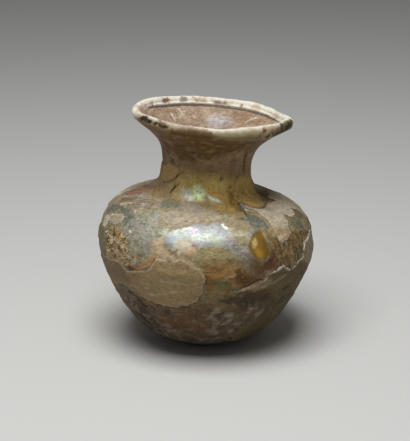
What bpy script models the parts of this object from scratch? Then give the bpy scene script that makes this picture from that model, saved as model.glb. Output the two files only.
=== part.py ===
"""Small blown-glass jar: a squat globe, a short neck, a flaring funnel mouth and a folded lip.

The jar is one hollow piece of glass. Its wall is a turned profile, and the turned form is then moved
as the glass-blower left it: the shoulder and the mouth tilt, the neck stands off centre, and the mouth
is drawn out of its ring in places. The underside is a small flat disc at the origin, and +Z points up.
"""

import math

import bpy
from mathutils import Vector
from mathutils.geometry import interpolate_bezier

MM = 0.001

# Outside sizes of the turned wall. Heights are measured up the jar's axis from the table.
FOOT_DIAMETER = 23.0 * MM
HAUNCH_DIAMETER = 50.2 * MM
HAUNCH_HEIGHT = 8.5 * MM
BELLY_DIAMETER = 74.4 * MM
BELLY_HEIGHT = 34.5 * MM
SHOULDER_DIAMETER = 45.0 * MM
SHOULDER_HEIGHT = 51.6 * MM
NECK_DIAMETER = 30.4 * MM
NECK_HEIGHT = 62.5 * MM
MOUTH_DIAMETER = 53.8 * MM
MOUTH_HEIGHT = 80.0 * MM

# Thickness of the glass, and how far the folded lip stands in from the funnel's inner face.
WALL = 1.8 * MM
FLOOR_THICKNESS = 2.8 * MM
LIP_FOLD = 1.2 * MM

# Slope of the wall at each station, in degrees up from level and outwards.
FOOT_SLOPE = 22.0
HAUNCH_SLOPE = 47.0
UPRIGHT = 90.0
SHOULDER_SLOPE = 166.5
MOUTH_SLOPE = 33.0

# What the blowing left: tilts in degrees towards +X, and how far the axis wanders that way.
SHOULDER_TILT = 3.0
MOUTH_TILT = 5.5
NECK_SHIFT = 0.65 * MM
MOUTH_SHIFT = 1.9 * MM

# Where the mouth leaves its ring. Each place has a bearing round the axis and a spread, in degrees,
# and says how far the mouth is drawn out and raised there and how much thicker its lip is.
PULLED_SIDE = {"bearing": -10.0, "spread": 22.0, "out": 1.1 * MM, "rise": 1.3 * MM, "swell": 0.15 * MM}
THICK_FRONT = {"bearing": -50.0, "spread": 40.0, "out": 0.0, "rise": 1.0 * MM, "swell": 0.6 * MM}
RAISED_BACK = {"bearing": 48.0, "spread": 26.0, "out": 0.3 * MM, "rise": 0.6 * MM, "swell": 0.0}

# Facets: round the axis, round the lip, and along each stretch of wall from foot to mouth.
SEGMENTS = 60
LIP_STEPS = 9
OUTER_STEPS = (5, 7, 9, 7, 8)
INNER_STEPS = (3, 4, 5, 4, 5)
MERGE_DISTANCE = 0.01 * MM

LIP_RADIUS = (WALL + LIP_FOLD) / 2
GLASS_COLOUR = (0.47, 0.37, 0.24, 1.0)
GLASS_ROUGHNESS = 0.45


def clear_scene():
    for obj in list(bpy.data.objects):
        bpy.data.objects.remove(obj)


def direction(degrees):
    """Unit vector in the profile's plane, turned up from +X."""
    angle = math.radians(degrees)
    return Vector((math.cos(angle), 0.0, math.sin(angle)))


def smooth_step(x):
    """0 below 0 and 1 above 1, with level ends."""
    x = min(max(x, 0.0), 1.0)
    return x * x * (3.0 - 2.0 * x)


def lip_centre():
    return Vector((MOUTH_DIAMETER / 2 - LIP_RADIUS, 0.0, MOUTH_HEIGHT - LIP_RADIUS))


def stations():
    """Each station: its point, the wall's slope there, and how full the curve is before and after it."""
    under_lip = lip_centre() + LIP_RADIUS * direction(MOUTH_SLOPE - 90.0)
    return (
        (Vector((FOOT_DIAMETER / 2, 0.0, 0.0)), FOOT_SLOPE, 0.0, 0.30),
        (Vector((HAUNCH_DIAMETER / 2, 0.0, HAUNCH_HEIGHT)), HAUNCH_SLOPE, 0.39, 0.28),
        (Vector((BELLY_DIAMETER / 2, 0.0, BELLY_HEIGHT)), UPRIGHT, 0.17, 0.49),
        (Vector((SHOULDER_DIAMETER / 2, 0.0, SHOULDER_HEIGHT)), SHOULDER_SLOPE, 0.37, 0.42),
        (Vector((NECK_DIAMETER / 2, 0.0, NECK_HEIGHT)), UPRIGHT, 0.42, 0.36),
        (under_lip, MOUTH_SLOPE, 0.58, 0.0),
    )


def outer_wall(steps_of_each):
    """Points up the outside, from the edge of the foot to where the lip begins."""
    points = [stations()[0][0]]
    for low, high, steps in zip(stations(), stations()[1:], steps_of_each):
        start, start_slope, _, fullness_after = low
        end, end_slope, fullness_before, _ = high
        reach = (end - start).length
        start_handle = start + fullness_after * reach * direction(start_slope)
        end_handle = end - fullness_before * reach * direction(end_slope)
        points += interpolate_bezier(start, start_handle, end_handle, end, steps + 1)[1:]
    return points


def glass_thickness(height):
    """The floor's thickness at the table, easing to the wall's at the haunch."""
    return WALL + (FLOOR_THICKNESS - WALL) * (1.0 - smooth_step(height / HAUNCH_HEIGHT))


def inner_wall():
    """Points up the inside: the outside set in by the glass, as far as the folded lip."""
    outer = outer_wall(INNER_STEPS)
    below = [outer[0]] + outer[:-1]
    above = outer[1:] + [outer[-1]]
    points = []
    for point, before, after in zip(outer, below, above):
        along = (after - before).normalized()
        inwards = Vector((-along.z, 0.0, along.x))
        inner = point + glass_thickness(point.z) * inwards
        if (inner - lip_centre()).length > LIP_RADIUS + LIP_FOLD:
            points.append(inner)
    return points


def lip():
    """Points round the folded lip, from its underside over the top to where it meets the inner wall."""
    set_in = math.degrees(math.asin((WALL - LIP_FOLD) / (WALL + LIP_FOLD)))
    first = MOUTH_SLOPE - 90.0
    last = MOUTH_SLOPE + 180.0 - set_in
    turns = [first + (last - first) * i / LIP_STEPS for i in range(1, LIP_STEPS + 1)]
    return [lip_centre() + LIP_RADIUS * direction(turn) for turn in turns]


def wall_profile():
    """The whole section: up the inside from the middle of the floor, over the lip and down the outside."""
    floor_middle = Vector((0.0, 0.0, FLOOR_THICKNESS))
    foot_middle = Vector((0.0, 0.0, 0.0))
    over_lip_and_down = list(reversed(outer_wall(OUTER_STEPS) + lip()))
    return [floor_middle] + inner_wall() + over_lip_and_down + [foot_middle]


def tilt_at(height):
    """How far the ring of glass at this height is tilted towards +X, in radians."""
    above_shoulder = (height - SHOULDER_HEIGHT) / (MOUTH_HEIGHT - SHOULDER_HEIGHT)
    degrees = SHOULDER_TILT * smooth_step(height / SHOULDER_HEIGHT)
    degrees += (MOUTH_TILT - SHOULDER_TILT) * smooth_step(above_shoulder)
    return math.radians(degrees)


def share_of_mouth(height):
    """0 up to the neck's waist, rising to 1 at the mouth."""
    return smooth_step((height - NECK_HEIGHT) / (MOUTH_HEIGHT - NECK_HEIGHT))


def shift_at(height):
    """How far the ring of glass at this height stands off centre towards +X."""
    shift = NECK_SHIFT * smooth_step(height / NECK_HEIGHT)
    return shift + (MOUTH_SHIFT - NECK_SHIFT) * share_of_mouth(height)


def nearness(bearing, place):
    """1 at the place's own bearing, fading to 0 beyond its spread."""
    off = (math.degrees(bearing) - place["bearing"] + 180.0) % 360.0 - 180.0
    return math.exp(-((off / place["spread"]) ** 2))


def as_blown(point):
    """Moves a point of the turned form to where the blown glass has it."""
    radius = math.hypot(point.x, point.y)
    bearing = math.atan2(point.y, point.x)
    mouth = share_of_mouth(point.z)
    from_lip = Vector((radius, 0.0, point.z)) - lip_centre()
    in_lip = 1.0 - smooth_step(from_lip.length / (2.5 * LIP_RADIUS))

    out = radius
    rise = 0.0
    for place in (PULLED_SIDE, THICK_FRONT, RAISED_BACK):
        near = nearness(bearing, place)
        swell = from_lip / LIP_RADIUS * place["swell"] * near * in_lip
        out += swell.x + place["out"] * near * mouth
        rise += swell.z + place["rise"] * near * mouth

    tilt = tilt_at(point.z)
    along_x = out * math.cos(bearing)
    return Vector((
        shift_at(point.z) + along_x * math.cos(tilt) + rise * math.sin(tilt),
        out * math.sin(bearing),
        point.z - along_x * math.sin(tilt) + rise * math.cos(tilt),
    ))


def turned_mesh(name, profile):
    """The profile swept round the Z axis with a Screw modifier, as a plain closed mesh."""
    outline = bpy.data.meshes.new(name + "_profile")
    edges = [(i, i + 1) for i in range(len(profile) - 1)]
    outline.from_pydata(profile, edges, [])
    turning = bpy.data.objects.new(name + "_turning", outline)
    bpy.context.scene.collection.objects.link(turning)

    screw = turning.modifiers.new("Turn", "SCREW")
    screw.axis = "Z"
    screw.steps = SEGMENTS
    screw.render_steps = SEGMENTS
    screw.use_merge_vertices = True
    screw.merge_threshold = MERGE_DISTANCE

    evaluated = turning.evaluated_get(bpy.context.evaluated_depsgraph_get())
    mesh = bpy.data.meshes.new_from_object(evaluated)
    mesh.name = name
    bpy.data.objects.remove(turning)
    return mesh


def weathered_glass():
    """Glass under a tan weathering crust, which leaves it opaque."""
    material = bpy.data.materials.new("weathered_glass")
    material.use_nodes = True
    shader = material.node_tree.nodes["Principled BSDF"]
    shader.inputs["Base Color"].default_value = GLASS_COLOUR
    shader.inputs["Roughness"].default_value = GLASS_ROUGHNESS
    shader.inputs["Metallic"].default_value = 0.0
    return material


def blown_vase(collection):
    mesh = turned_mesh("glass_vase", wall_profile())
    for vertex in mesh.vertices:
        vertex.co = as_blown(vertex.co)
    mesh.shade_smooth()
    mesh.set_sharp_from_angle(angle=math.radians(40.0))
    mesh.materials.append(weathered_glass())
    vase = bpy.data.objects.new("glass_vase", mesh)
    collection.objects.link(vase)
    return vase


def main():
    clear_scene()
    collection = bpy.data.collections.new("Glass vase")
    bpy.context.scene.collection.children.link(collection)
    blown_vase(collection)


main()
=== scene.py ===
"""A small hand-blown glass jar, long buried: its weathering crust is flaking off iridescent glass.

Lengths here are in millimetres until a mesh is made, and MM turns them to metres. The jar stands at
the origin on its small flat foot. +X is to the viewer's right and -Y towards the viewer.
A bearing is an angle round the jar in degrees from +X, so the viewer's side is at -90.
"""

import math
from collections import namedtuple
from types import SimpleNamespace

import bpy
import numpy as np
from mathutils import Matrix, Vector, noise
from mathutils.bvhtree import BVHTree


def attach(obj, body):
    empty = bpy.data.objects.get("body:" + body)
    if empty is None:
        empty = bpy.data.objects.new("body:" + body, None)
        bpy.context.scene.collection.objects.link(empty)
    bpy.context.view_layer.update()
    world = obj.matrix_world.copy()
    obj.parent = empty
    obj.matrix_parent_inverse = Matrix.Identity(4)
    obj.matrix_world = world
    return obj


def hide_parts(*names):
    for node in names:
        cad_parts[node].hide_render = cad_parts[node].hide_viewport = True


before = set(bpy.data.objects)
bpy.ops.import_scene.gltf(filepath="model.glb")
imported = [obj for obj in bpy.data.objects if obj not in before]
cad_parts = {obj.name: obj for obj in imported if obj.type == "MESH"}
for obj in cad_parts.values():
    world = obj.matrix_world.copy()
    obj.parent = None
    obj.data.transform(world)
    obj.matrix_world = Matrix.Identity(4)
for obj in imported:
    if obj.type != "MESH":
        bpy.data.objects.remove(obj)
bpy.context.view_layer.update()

MM = 0.001

# The blown wall, as its solid has it: radii and heights of each station, and the wall's slope there.
FOOT_RADIUS = 11.5
HAUNCH_RADIUS = 25.1
HAUNCH_HEIGHT = 8.5
BELLY_RADIUS = 37.2
BELLY_HEIGHT = 34.5
SHOULDER_RADIUS = 22.5
SHOULDER_HEIGHT = 51.6
NECK_RADIUS = 15.2
NECK_HEIGHT = 62.5
MOUTH_RADIUS = 26.9
MOUTH_HEIGHT = 80.0
FOOT_SLOPE = 22.0
HAUNCH_SLOPE = 47.0
UPRIGHT = 90.0
SHOULDER_SLOPE = 166.5
MOUTH_SLOPE = 33.0
WALL = 1.8
FLOOR_THICKNESS = 2.8
LIP_FOLD = 1.2
LIP_RADIUS = (WALL + LIP_FOLD) / 2

# What the blowing left: tilts towards +X, how far the axis wanders, and where the mouth leaves its ring.
SHOULDER_TILT = 3.0
MOUTH_TILT = 5.5
NECK_SHIFT = 0.65
MOUTH_SHIFT = 1.9
PULLED_SIDE = {"bearing": -10.0, "spread": 22.0, "out": 1.1, "rise": 1.3, "swell": 0.15}
THICK_FRONT = {"bearing": -50.0, "spread": 40.0, "out": 0.0, "rise": 1.0, "swell": 0.6}
RAISED_BACK = {"bearing": 48.0, "spread": 26.0, "out": 0.3, "rise": 0.6, "swell": 0.0}

# The mesh: facets round the jar where its skin shows and where it hardly does, and the spacing of its rings.
ROUND = 440
COARSE_ROUND = ROUND // 4
SKIN_SPACING = 0.66
LIP_SPACING = 0.42
FOLD_SPACING = 0.36
FOLD_REACH = 3.0
FUNNEL_SPACING = 0.95
INSIDE_SPACING = 2.4
UNDERSIDE_SPACING = 2.0
SAME_RING = 0.05
POLE_RADIUS = 1e-6

# The photograph's view of the jar, for a frame of 410 by 441 pixels.
FRAME_WIDTH = 410
FRAME_HEIGHT = 441
VIEW_DISTANCE = 520.0
VIEW_ELEVATION = 17.38
VIEW_TARGET = (0.05, 0.0, 41.86)
FOCAL_PIXELS = 1497.6
SENSOR = 36.0
BODY_MIDDLE = (207.0, 225.0)
MOUTH_MIDDLE = (214.0, 118.0)
NECK_TOP = 140.0
EDGE_NUDGE = 8.0
NUDGE_STEP = 0.5


def step(low, high, value):
    """0 at low and beneath, 1 at high and above, with level ends."""
    x = np.clip((value - low) / (high - low), 0.0, 1.0)
    return x * x * (3.0 - 2.0 * x)


def turned(degrees):
    """The same turn, as -180 to 180 degrees."""
    return (degrees + 180.0) % 360.0 - 180.0


# The form of the blown wall.

def heading(degrees):
    """Unit vector in the section's plane, outwards and up."""
    angle = math.radians(degrees)
    return np.array((math.cos(angle), math.sin(angle)))


def lip_centre():
    return np.array((MOUTH_RADIUS - LIP_RADIUS, MOUTH_HEIGHT - LIP_RADIUS))


def curve_between(low, high, samples):
    """Points of the curve from one station to the next."""
    start, start_slope, _, fullness_after = low
    end, end_slope, fullness_before, _ = high
    reach = np.linalg.norm(end - start)
    start_handle = start + fullness_after * reach * heading(start_slope)
    end_handle = end - fullness_before * reach * heading(end_slope)
    t = np.linspace(0.0, 1.0, samples)[:, None]
    return (
        (1 - t) ** 3 * start
        + 3 * (1 - t) ** 2 * t * start_handle
        + 3 * (1 - t) * t ** 2 * end_handle
        + t ** 3 * end
    )


def outer_section(samples=70):
    """Radius and height up the outside, from the edge of the foot to the underside of the lip.

    Each station has its point, the wall's slope there, and how full the curve is before and after it.
    """
    under_lip = lip_centre() + LIP_RADIUS * heading(MOUTH_SLOPE - 90.0)
    stations = (
        (np.array((FOOT_RADIUS, 0.0)), FOOT_SLOPE, 0.0, 0.30),
        (np.array((HAUNCH_RADIUS, HAUNCH_HEIGHT)), HAUNCH_SLOPE, 0.39, 0.28),
        (np.array((BELLY_RADIUS, BELLY_HEIGHT)), UPRIGHT, 0.17, 0.49),
        (np.array((SHOULDER_RADIUS, SHOULDER_HEIGHT)), SHOULDER_SLOPE, 0.37, 0.42),
        (np.array((NECK_RADIUS, NECK_HEIGHT)), UPRIGHT, 0.42, 0.36),
        (under_lip, MOUTH_SLOPE, 0.58, 0.0),
    )
    stretches = [curve_between(low, high, samples) for low, high in zip(stations, stations[1:])]
    return np.vstack(stretches[:1] + [stretch[1:] for stretch in stretches[1:]])


def inner_section():
    """The outside set in by the glass, up to where the folded lip covers it."""
    outer = outer_section()
    along = np.gradient(outer, axis=0)
    along /= np.linalg.norm(along, axis=1)[:, None]
    inwards = np.column_stack((-along[:, 1], along[:, 0]))
    extra = (FLOOR_THICKNESS - WALL) * (1.0 - step(0.0, HAUNCH_HEIGHT, outer[:, 1]))
    inner = outer + (WALL + extra)[:, None] * inwards
    return inner[np.linalg.norm(inner - lip_centre(), axis=1) > LIP_RADIUS + 0.4 * LIP_FOLD]


def lip_section(samples=60):
    """Round the folded lip, from its underside over the top to where it meets the inner wall."""
    set_in = math.degrees(math.asin((WALL - LIP_FOLD) / (WALL + LIP_FOLD)))
    turns = np.linspace(MOUTH_SLOPE - 90.0, MOUTH_SLOPE + 180.0 - set_in, samples)
    return np.array([lip_centre() + LIP_RADIUS * heading(turn) for turn in turns])


def spaced(curve, spacing):
    """The curve's points at about this spacing, both ends kept, and their distances along it."""
    steps = np.linalg.norm(np.diff(curve, axis=0), axis=1)
    along = np.concatenate(((0.0,), np.cumsum(steps)))
    wanted = np.linspace(0.0, along[-1], max(2, round(along[-1] / spacing) + 1))
    points = np.column_stack([np.interp(wanted, along, curve[:, axis]) for axis in (0, 1)])
    return points, wanted


def arc_length(curve):
    return np.linalg.norm(np.diff(curve, axis=0), axis=1).sum()


def stretches_of_wall():
    """Each stretch of the section, from under the foot to the floor inside: its curve, spacing and facets."""
    inner = inner_section()[::-1]
    funnel = inner[inner[:, 1] > NECK_HEIGHT]
    inside = inner[inner[:, 1] <= NECK_HEIGHT]
    from_lip = np.linalg.norm(funnel - funnel[0], axis=1)
    floor = np.array((inside[-1], (0.0, FLOOR_THICKNESS)))
    underside = np.array(((0.0, 0.0), (FOOT_RADIUS, 0.0)))
    return (
        (underside, UNDERSIDE_SPACING, COARSE_ROUND),
        (outer_section(), SKIN_SPACING, ROUND),
        (lip_section(), LIP_SPACING, ROUND),
        (funnel[from_lip <= FOLD_REACH], FOLD_SPACING, ROUND),
        (funnel[from_lip > FOLD_REACH], FUNNEL_SPACING, ROUND),
        (inside, INSIDE_SPACING, COARSE_ROUND),
        (floor, INSIDE_SPACING, COARSE_ROUND),
    )


Ring = namedtuple("Ring", "radius height along facets")


def rings_of_wall():
    """Every ring of the mesh, from the middle of the foot, over the lip, to the middle of the floor."""
    rings = []
    travelled = 0.0
    for curve, spacing, facets in stretches_of_wall():
        if rings:
            gap = np.linalg.norm(curve[0] - (rings[-1].radius, rings[-1].height))
            travelled = rings[-1].along + gap
        points, along = spaced(curve, spacing)
        for (radius, height), distance in zip(points, along):
            repeated = rings and travelled + distance - rings[-1].along < SAME_RING
            if not repeated:
                rings.append(Ring(radius, height, travelled + distance, facets))
    return eased(rings)


def eased(rings):
    """The rings, with the facets halved in two stages wherever the coarse and the fine ones meet."""
    facets = [ring.facets for ring in rings]
    for i in range(1, len(rings)):
        if facets[i] == 4 * facets[i - 1]:
            facets[i] //= 2
        elif facets[i - 1] == 4 * facets[i]:
            facets[i] *= 2
    return [ring._replace(facets=count) for ring, count in zip(rings, facets)]


def as_blown(radius, height, bearing):
    """Places of the turned form's points after tilting, shifting and drawing out the mouth."""
    mouth = step(NECK_HEIGHT, MOUTH_HEIGHT, height)
    from_lip = np.column_stack((radius, height)) - lip_centre()
    in_lip = 1.0 - step(0.0, 2.5 * LIP_RADIUS, np.linalg.norm(from_lip, axis=1))
    out = radius.copy()
    rise = np.zeros_like(radius)
    for place in (PULLED_SIDE, THICK_FRONT, RAISED_BACK):
        off = turned(np.degrees(bearing) - place["bearing"])
        near = np.exp(-((off / place["spread"]) ** 2))
        swell = place["swell"] * near * in_lip / LIP_RADIUS
        out += from_lip[:, 0] * swell + place["out"] * near * mouth
        rise += from_lip[:, 1] * swell + place["rise"] * near * mouth
    tilt = np.radians(
        SHOULDER_TILT * step(0.0, SHOULDER_HEIGHT, height)
        + (MOUTH_TILT - SHOULDER_TILT) * step(SHOULDER_HEIGHT, MOUTH_HEIGHT, height)
    )
    shift = NECK_SHIFT * step(0.0, NECK_HEIGHT, height) + (MOUTH_SHIFT - NECK_SHIFT) * mouth
    along_x = out * np.cos(bearing)
    return np.column_stack((
        shift + along_x * np.cos(tilt) + rise * np.sin(tilt),
        out * np.sin(bearing),
        height - along_x * np.sin(tilt) + rise * np.cos(tilt),
    ))


def fan_between(lower, upper):
    """Faces between a ring and a pole, which may be the lower or the upper one."""
    if len(lower) == 1:
        return [(lower[0], upper[(i + 1) % len(upper)], upper[i]) for i in range(len(upper))]
    return [(lower[i], lower[(i + 1) % len(lower)], upper[0]) for i in range(len(lower))]


def band_between(lower, upper):
    """Faces between two rings of vertex numbers, which are equal in count, double, half or a pole."""
    if 1 in (len(lower), len(upper)):
        return fan_between(lower, upper)
    faces = []
    count = min(len(lower), len(upper))
    low_step = len(lower) // count
    up_step = len(upper) // count
    for i in range(count):
        a = lower[i * low_step]
        b = lower[(i + 1) * low_step % len(lower)]
        c = upper[(i + 1) * up_step % len(upper)]
        d = upper[i * up_step]
        if low_step == up_step:
            faces.append((a, b, c, d))
        elif low_step == 2:
            middle = lower[i * 2 + 1]
            faces += [(a, middle, d), (middle, c, d), (middle, b, c)]
        else:
            middle = upper[i * 2 + 1]
            faces += [(a, middle, d), (a, b, middle), (b, c, middle)]
    return faces


class Wall:
    """The jar's skin: each vertex's place, its bearing, and how far along the section it lies."""

    def __init__(self):
        radius, height, along, bearing, loops = [], [], [], [], []
        for ring in rings_of_wall():
            count = 1 if ring.radius < POLE_RADIUS else ring.facets
            loops.append(range(len(radius), len(radius) + count))
            radius += [ring.radius] * count
            height += [ring.height] * count
            along += [ring.along] * count
            bearing += [2.0 * math.pi * i / count for i in range(count)]
        self.radius = np.array(radius)
        self.height = np.array(height)
        self.along = np.array(along)
        self.bearing = np.array(bearing)
        self.places = as_blown(self.radius, self.height, self.bearing)
        self.faces = []
        for lower, upper in zip(loops, loops[1:]):
            self.faces += band_between(lower, upper)
        self.solid = BVHTree.FromPolygons(self.places.tolist(), self.faces)
        self.lip_start = FOOT_RADIUS + arc_length(outer_section())
        self.lip_length = arc_length(lip_section())
        self.lip_end = self.lip_start + self.lip_length

    def position_at(self, hit, face):
        """Bearing in degrees and distance along the section of a point on a face."""
        corners = list(self.faces[face])
        weights = 1.0 / (np.linalg.norm(self.places[corners] - np.array(hit), axis=1) + 1e-6)
        weights /= weights.sum()
        east = (np.cos(self.bearing[corners]) * weights).sum()
        north = (np.sin(self.bearing[corners]) * weights).sum()
        return math.degrees(math.atan2(north, east)), (self.along[corners] * weights).sum()

    def along_outside(self, height):
        """Distance along the section at a height up the outside."""
        outside = self.along < self.lip_start
        return np.interp(height, self.height[outside], self.along[outside])


wall = Wall()


# The view.

def view_axes():
    """The eye's place, and its forward, right and up directions."""
    elevation = math.radians(VIEW_ELEVATION)
    forward = np.array((0.0, math.cos(elevation), -math.sin(elevation)))
    right = np.array((1.0, 0.0, 0.0))
    up = np.cross(right, forward)
    return np.array(VIEW_TARGET) - VIEW_DISTANCE * forward, forward, right, up


def seen_at(x, y):
    """Where the jar is seen at this pixel, as a bearing and a distance along the section.

    A pixel just off the jar counts as the first place on it towards the middle of the mouth or body.
    """
    eye, forward, right, up = view_axes()
    pixel = np.array((x, y), dtype=float)
    inwards = np.array(MOUTH_MIDDLE if y < NECK_TOP else BODY_MIDDLE) - pixel
    inwards /= np.linalg.norm(inwards)
    for nudge in np.arange(0.0, EDGE_NUDGE, NUDGE_STEP):
        across, down = pixel + nudge * inwards - (FRAME_WIDTH / 2, FRAME_HEIGHT / 2)
        ray = forward + across / FOCAL_PIXELS * right - down / FOCAL_PIXELS * up
        hit, _, face, _ = wall.solid.ray_cast(Vector(eye), Vector(ray))
        if hit is not None:
            return wall.position_at(hit, face)
    raise ValueError(f"pixel {x}, {y} misses the jar")


def make_camera():
    eye, forward, _, _ = view_axes()
    camera = bpy.data.objects.new("view", bpy.data.cameras.new("view"))
    camera.data.sensor_fit = "VERTICAL"
    camera.data.sensor_height = SENSOR
    camera.data.lens = SENSOR * FOCAL_PIXELS / FRAME_HEIGHT
    camera.location = eye * MM
    camera.rotation_euler = Vector(forward).to_track_quat("-Z", "Y").to_euler()
    bpy.context.scene.collection.objects.link(camera)
    bpy.context.scene.camera = camera


def linear(hex_colour, alpha=1.0):
    """sRGB hex to linear RGBA."""
    channels = [int(hex_colour[i:i + 2], 16) / 255.0 for i in (1, 3, 5)]
    spread = [c / 12.92 if c <= 0.04045 else ((c + 0.055) / 1.055) ** 2.4 for c in channels]
    return (*spread, alpha)


# A patch of crust: its edge's softness and raggedness, how strongly it covers, and how far it is sunk.
Patch = namedtuple("Patch", "name colour soft ragged strength outline sunk", defaults=(0.0,))
# A patch of bared glass, with its shine.
Film = namedtuple("Film", "name colour shine soft ragged strength outline")
# Blotches over a whole part of the jar: their size, and the noise at which one starts and is full.
Blotch = namedtuple("Blotch", "colour size seed starts full strength shine", defaults=(0.0,))
# A place where the skin differs: the depth inside its edge at which that starts and is full, and by how much.
Area = namedtuple("Area", "name starts full ragged outline amount", defaults=(1.0,))
# A crack or slit, a raised wrinkle or edge, and a dark spot.
Groove = namedtuple("Groove", "name width depth path")
Ridge = namedtuple("Ridge", "name width height pale path")
Spot = namedtuple("Spot", "name x y radius")
# A point of an outline that the view doesn't show, given as its bearing and its height up the outside.
Round = namedtuple("Round", "bearing height")
# A pattern of a material: what noise with features of this size gives at a low and at a high value.
Pattern = namedtuple("Pattern", "size detail broken low high at_low at_high")

# Finishes, as sRGB hex: the two layers that the eye meets on long-buried glass.
# Crust is the devitrified skin, matt like plaster. Film is the bared glass under it, satin to silvery.
IVORY = "#E4DCCB"
CRUMBLED = "#C7AC80"
TAN_CRUST = "#9C8560"
LOW_CRUST = "#84704F"
ROSY_CRUST = "#9A8672"
PALE_CRUST = "#B7AB96"
TAUPE = "#957F6B"
UMBER = "#5F4A2F"
OLIVE_TAN = "#9A8558"
GREY_GREEN = "#85897C"
PEWTER = "#8C8A7C"
LIP_CREAM = "#D6D0C1"
# The front of the lip, darker on its outer face and underside as painted shade.
SHADED_LIP_FRONT = "#948769"
SHADED_LIP_UNDERSIDE = "#84714F"

# Colours up the outside, as (height, colour), and across the iridescent sheen, as (share, colour).
# Both sets of bands grow darker towards the foot, partly as painted shade.
FILM_BANDS = (
    (0.0, "#4E4330"), (4.0, "#53442F"), (12.0, "#4F3C28"), (19.0, "#57432B"), (27.0, "#78663F"),
    (38.0, "#857A5C"), (46.0, "#8C7F5E"), (50.5, "#94805A"), (56.0, "#A08858"), (63.0, "#8C714A"),
    (69.0, "#6E5434"), (76.0, "#664F2E"),
)
CRUST_BANDS = (
    (0.0, "#5A4E38"), (10.0, "#66553A"), (18.0, "#7A6545"), (30.0, "#937A54"), (40.0, "#A08F70"),
    (48.0, "#AC9F88"), (53.0, "#A89A80"), (60.0, "#A8905F"), (75.0, "#A08E70"),
)
SHEEN = (
    (0.34, "#D9BE6A"), (0.44, "#AFC9A0"), (0.52, "#9FB2BE"), (0.60, "#B7A6C4"), (0.70, "#CDA58A"),
)

# Blotches of the unseen side, the funnel, the low belly, the lip and the inside of the mouth.
UNSEEN_FILMS = tuple(
    Blotch(colour, size=19.0, seed=seed, starts=0.2, full=2.0, strength=0.7, shine=shine)
    for colour, seed, shine in (
        (GREY_GREEN, 11, 0.5), (UMBER, 12, 0.1), (OLIVE_TAN, 13, 0.3), (PEWTER, 14, 0.5),
    )
)
UNSEEN_CRUSTS = tuple(
    Blotch(colour, size=16.0, seed=seed, starts=0.2, full=1.8, strength=0.5)
    for colour, seed in ((PALE_CRUST, 22), (ROSY_CRUST, 23), (LOW_CRUST, 24))
)
FUNNEL_STAINS = (
    Blotch(UMBER, size=3.2, seed=17, starts=0.2, full=1.3, strength=0.5),
    Blotch(TAN_CRUST, size=2.4, seed=18, starts=0.2, full=1.3, strength=0.3),
)
LOW_STAINS = (Blotch("#2A1E12", size=4.2, seed=16, starts=0.2, full=1.3, strength=0.45),)
LOW_BLOOM = (Blotch("#948675", size=3.0, seed=15, starts=0.1, full=1.5, strength=1.0),)
LIP_BLUSHES = (Blotch("#B49B80", size=5.0, seed=43, starts=0.5, full=1.4, strength=0.5),)
INSIDE_FLECKS = (Blotch("#AD9984", size=1.6, seed=41, starts=0.2, full=1.3, strength=1.0),)
INSIDE_CLOUDS = (Blotch("#846D58", size=3.4, seed=42, starts=0.2, full=1.3, strength=0.6),)

# Relief, in millimetres.
DENTS = 0.10
SHEET_THICKNESS = 0.3
SKIN_THICKNESS = 0.1
EDGE_CURL = 0.07
WRINKLES = 0.05
LOW_ROUGHNESS = 0.03
UNDULATION = 0.025
PIT_DEPTH = 0.18
SCAB_THICKNESS = 0.16
SPOT_DEPTH = 0.15
INSIDE_LUMPS = 0.04
LIP_LUMPS = 0.07
LIP_GRIT = 0.03
LEFT_END_LUMP = 0.7
FOLD_DROP = 0.9
FOLD_LINE_DEPTH = 0.2
FOLD_LINE_WIDTH = 0.3
# The folded lip, by bearing: how far its inner edge hangs down the funnel, and how much it is raised.
FOLD_HANG = ((-30, 0.0), (8, 0.25), (30, 0.7), (55, 1.25), (90, 1.05), (130, 1.1), (148, 0.8), (160, 0.0))
LIP_LIFT = ((-172, 0.0), (-150, 0.45), (-122, 0.8), (-100, 0.6), (-75, 0.3), (-35, 0.35), (-15, 0.0))
# Beyond this depth or distance, a vertex is wholly in or out of an outline.
REACH = 4.0

# Where each part of the skin starts and is full. These are degrees round from the viewer, or from +X.
UNSEEN_FROM = (74.0, 92.0)
LIP_FRONT_FROM = (80.0, 60.0)
LIP_LEFT_END = (150.0, 165.0)
# These are heights.
FOOT_FLAT_TO = (0.3, 3.0)
LOW_BELLY = (25.0, 19.0)
LOW_ROUGH_FROM = (24.0, 18.0)
UNSEEN_FILMS_FROM = (10.0, 18.0)
UNSEEN_FILMS_TO = (56.0, 48.0)
UNSEEN_SHEETS_LOW = (30.0, 16.0)
UNSEEN_SHEETS_HIGH = (40.0, 50.0)
UNSEEN_SHEETS_TOP = 62.0
NECK_FROM = (50.0, 56.0)
FUNNEL_FROM = (63.0, 68.0)
DOWN_NECK_FROM = (66.5, 56.5)
INSIDE_MOTTLED_FROM = (60.0, 66.0)
# These are shares of the way over the lip.
LIP_OUTER_FACE = (0.60, 0.34)
LIP_UNDERNEATH = (0.24, 0.08)
LIP_TOP_FROM = (0.25, 0.6)
LIP_TOP_TO = (1.0, 0.85)

# Noise over the wall: the size of its features, its seed and its octaves.
UNSEEN_SHEET_CLOUDS = (21.0, 21, 2)
PITTED = (1.7, 31)
SCABBED = (1.9, 32)
LUMPY = (8.0, 44)

# How dark grooves, pits and spots are, and how dark the painted shadow under the fold is.
GROOVE_DARKNESS = 0.75
PIT_DARKNESS = 0.75
SPOT_DARKNESS = 0.85
FOLD_SHADOW_DARKNESS = 0.8

# The shine of plain film and its loss low down, and the mottling and streaks by height.
PLAIN_SHINE = 0.25
LOW_DULLING = 0.9
BELLY_MOTTLING = 1.15
MOTTLING_CHANGES = ((*NECK_FROM, -0.6), (27.0, 20.0, 0.2), (64.0, 69.0, 0.3))
NECK_STREAKS = 0.3
EATEN_MOTTLING = 0.8
INSIDE_MOTTLING = 0.4

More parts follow.
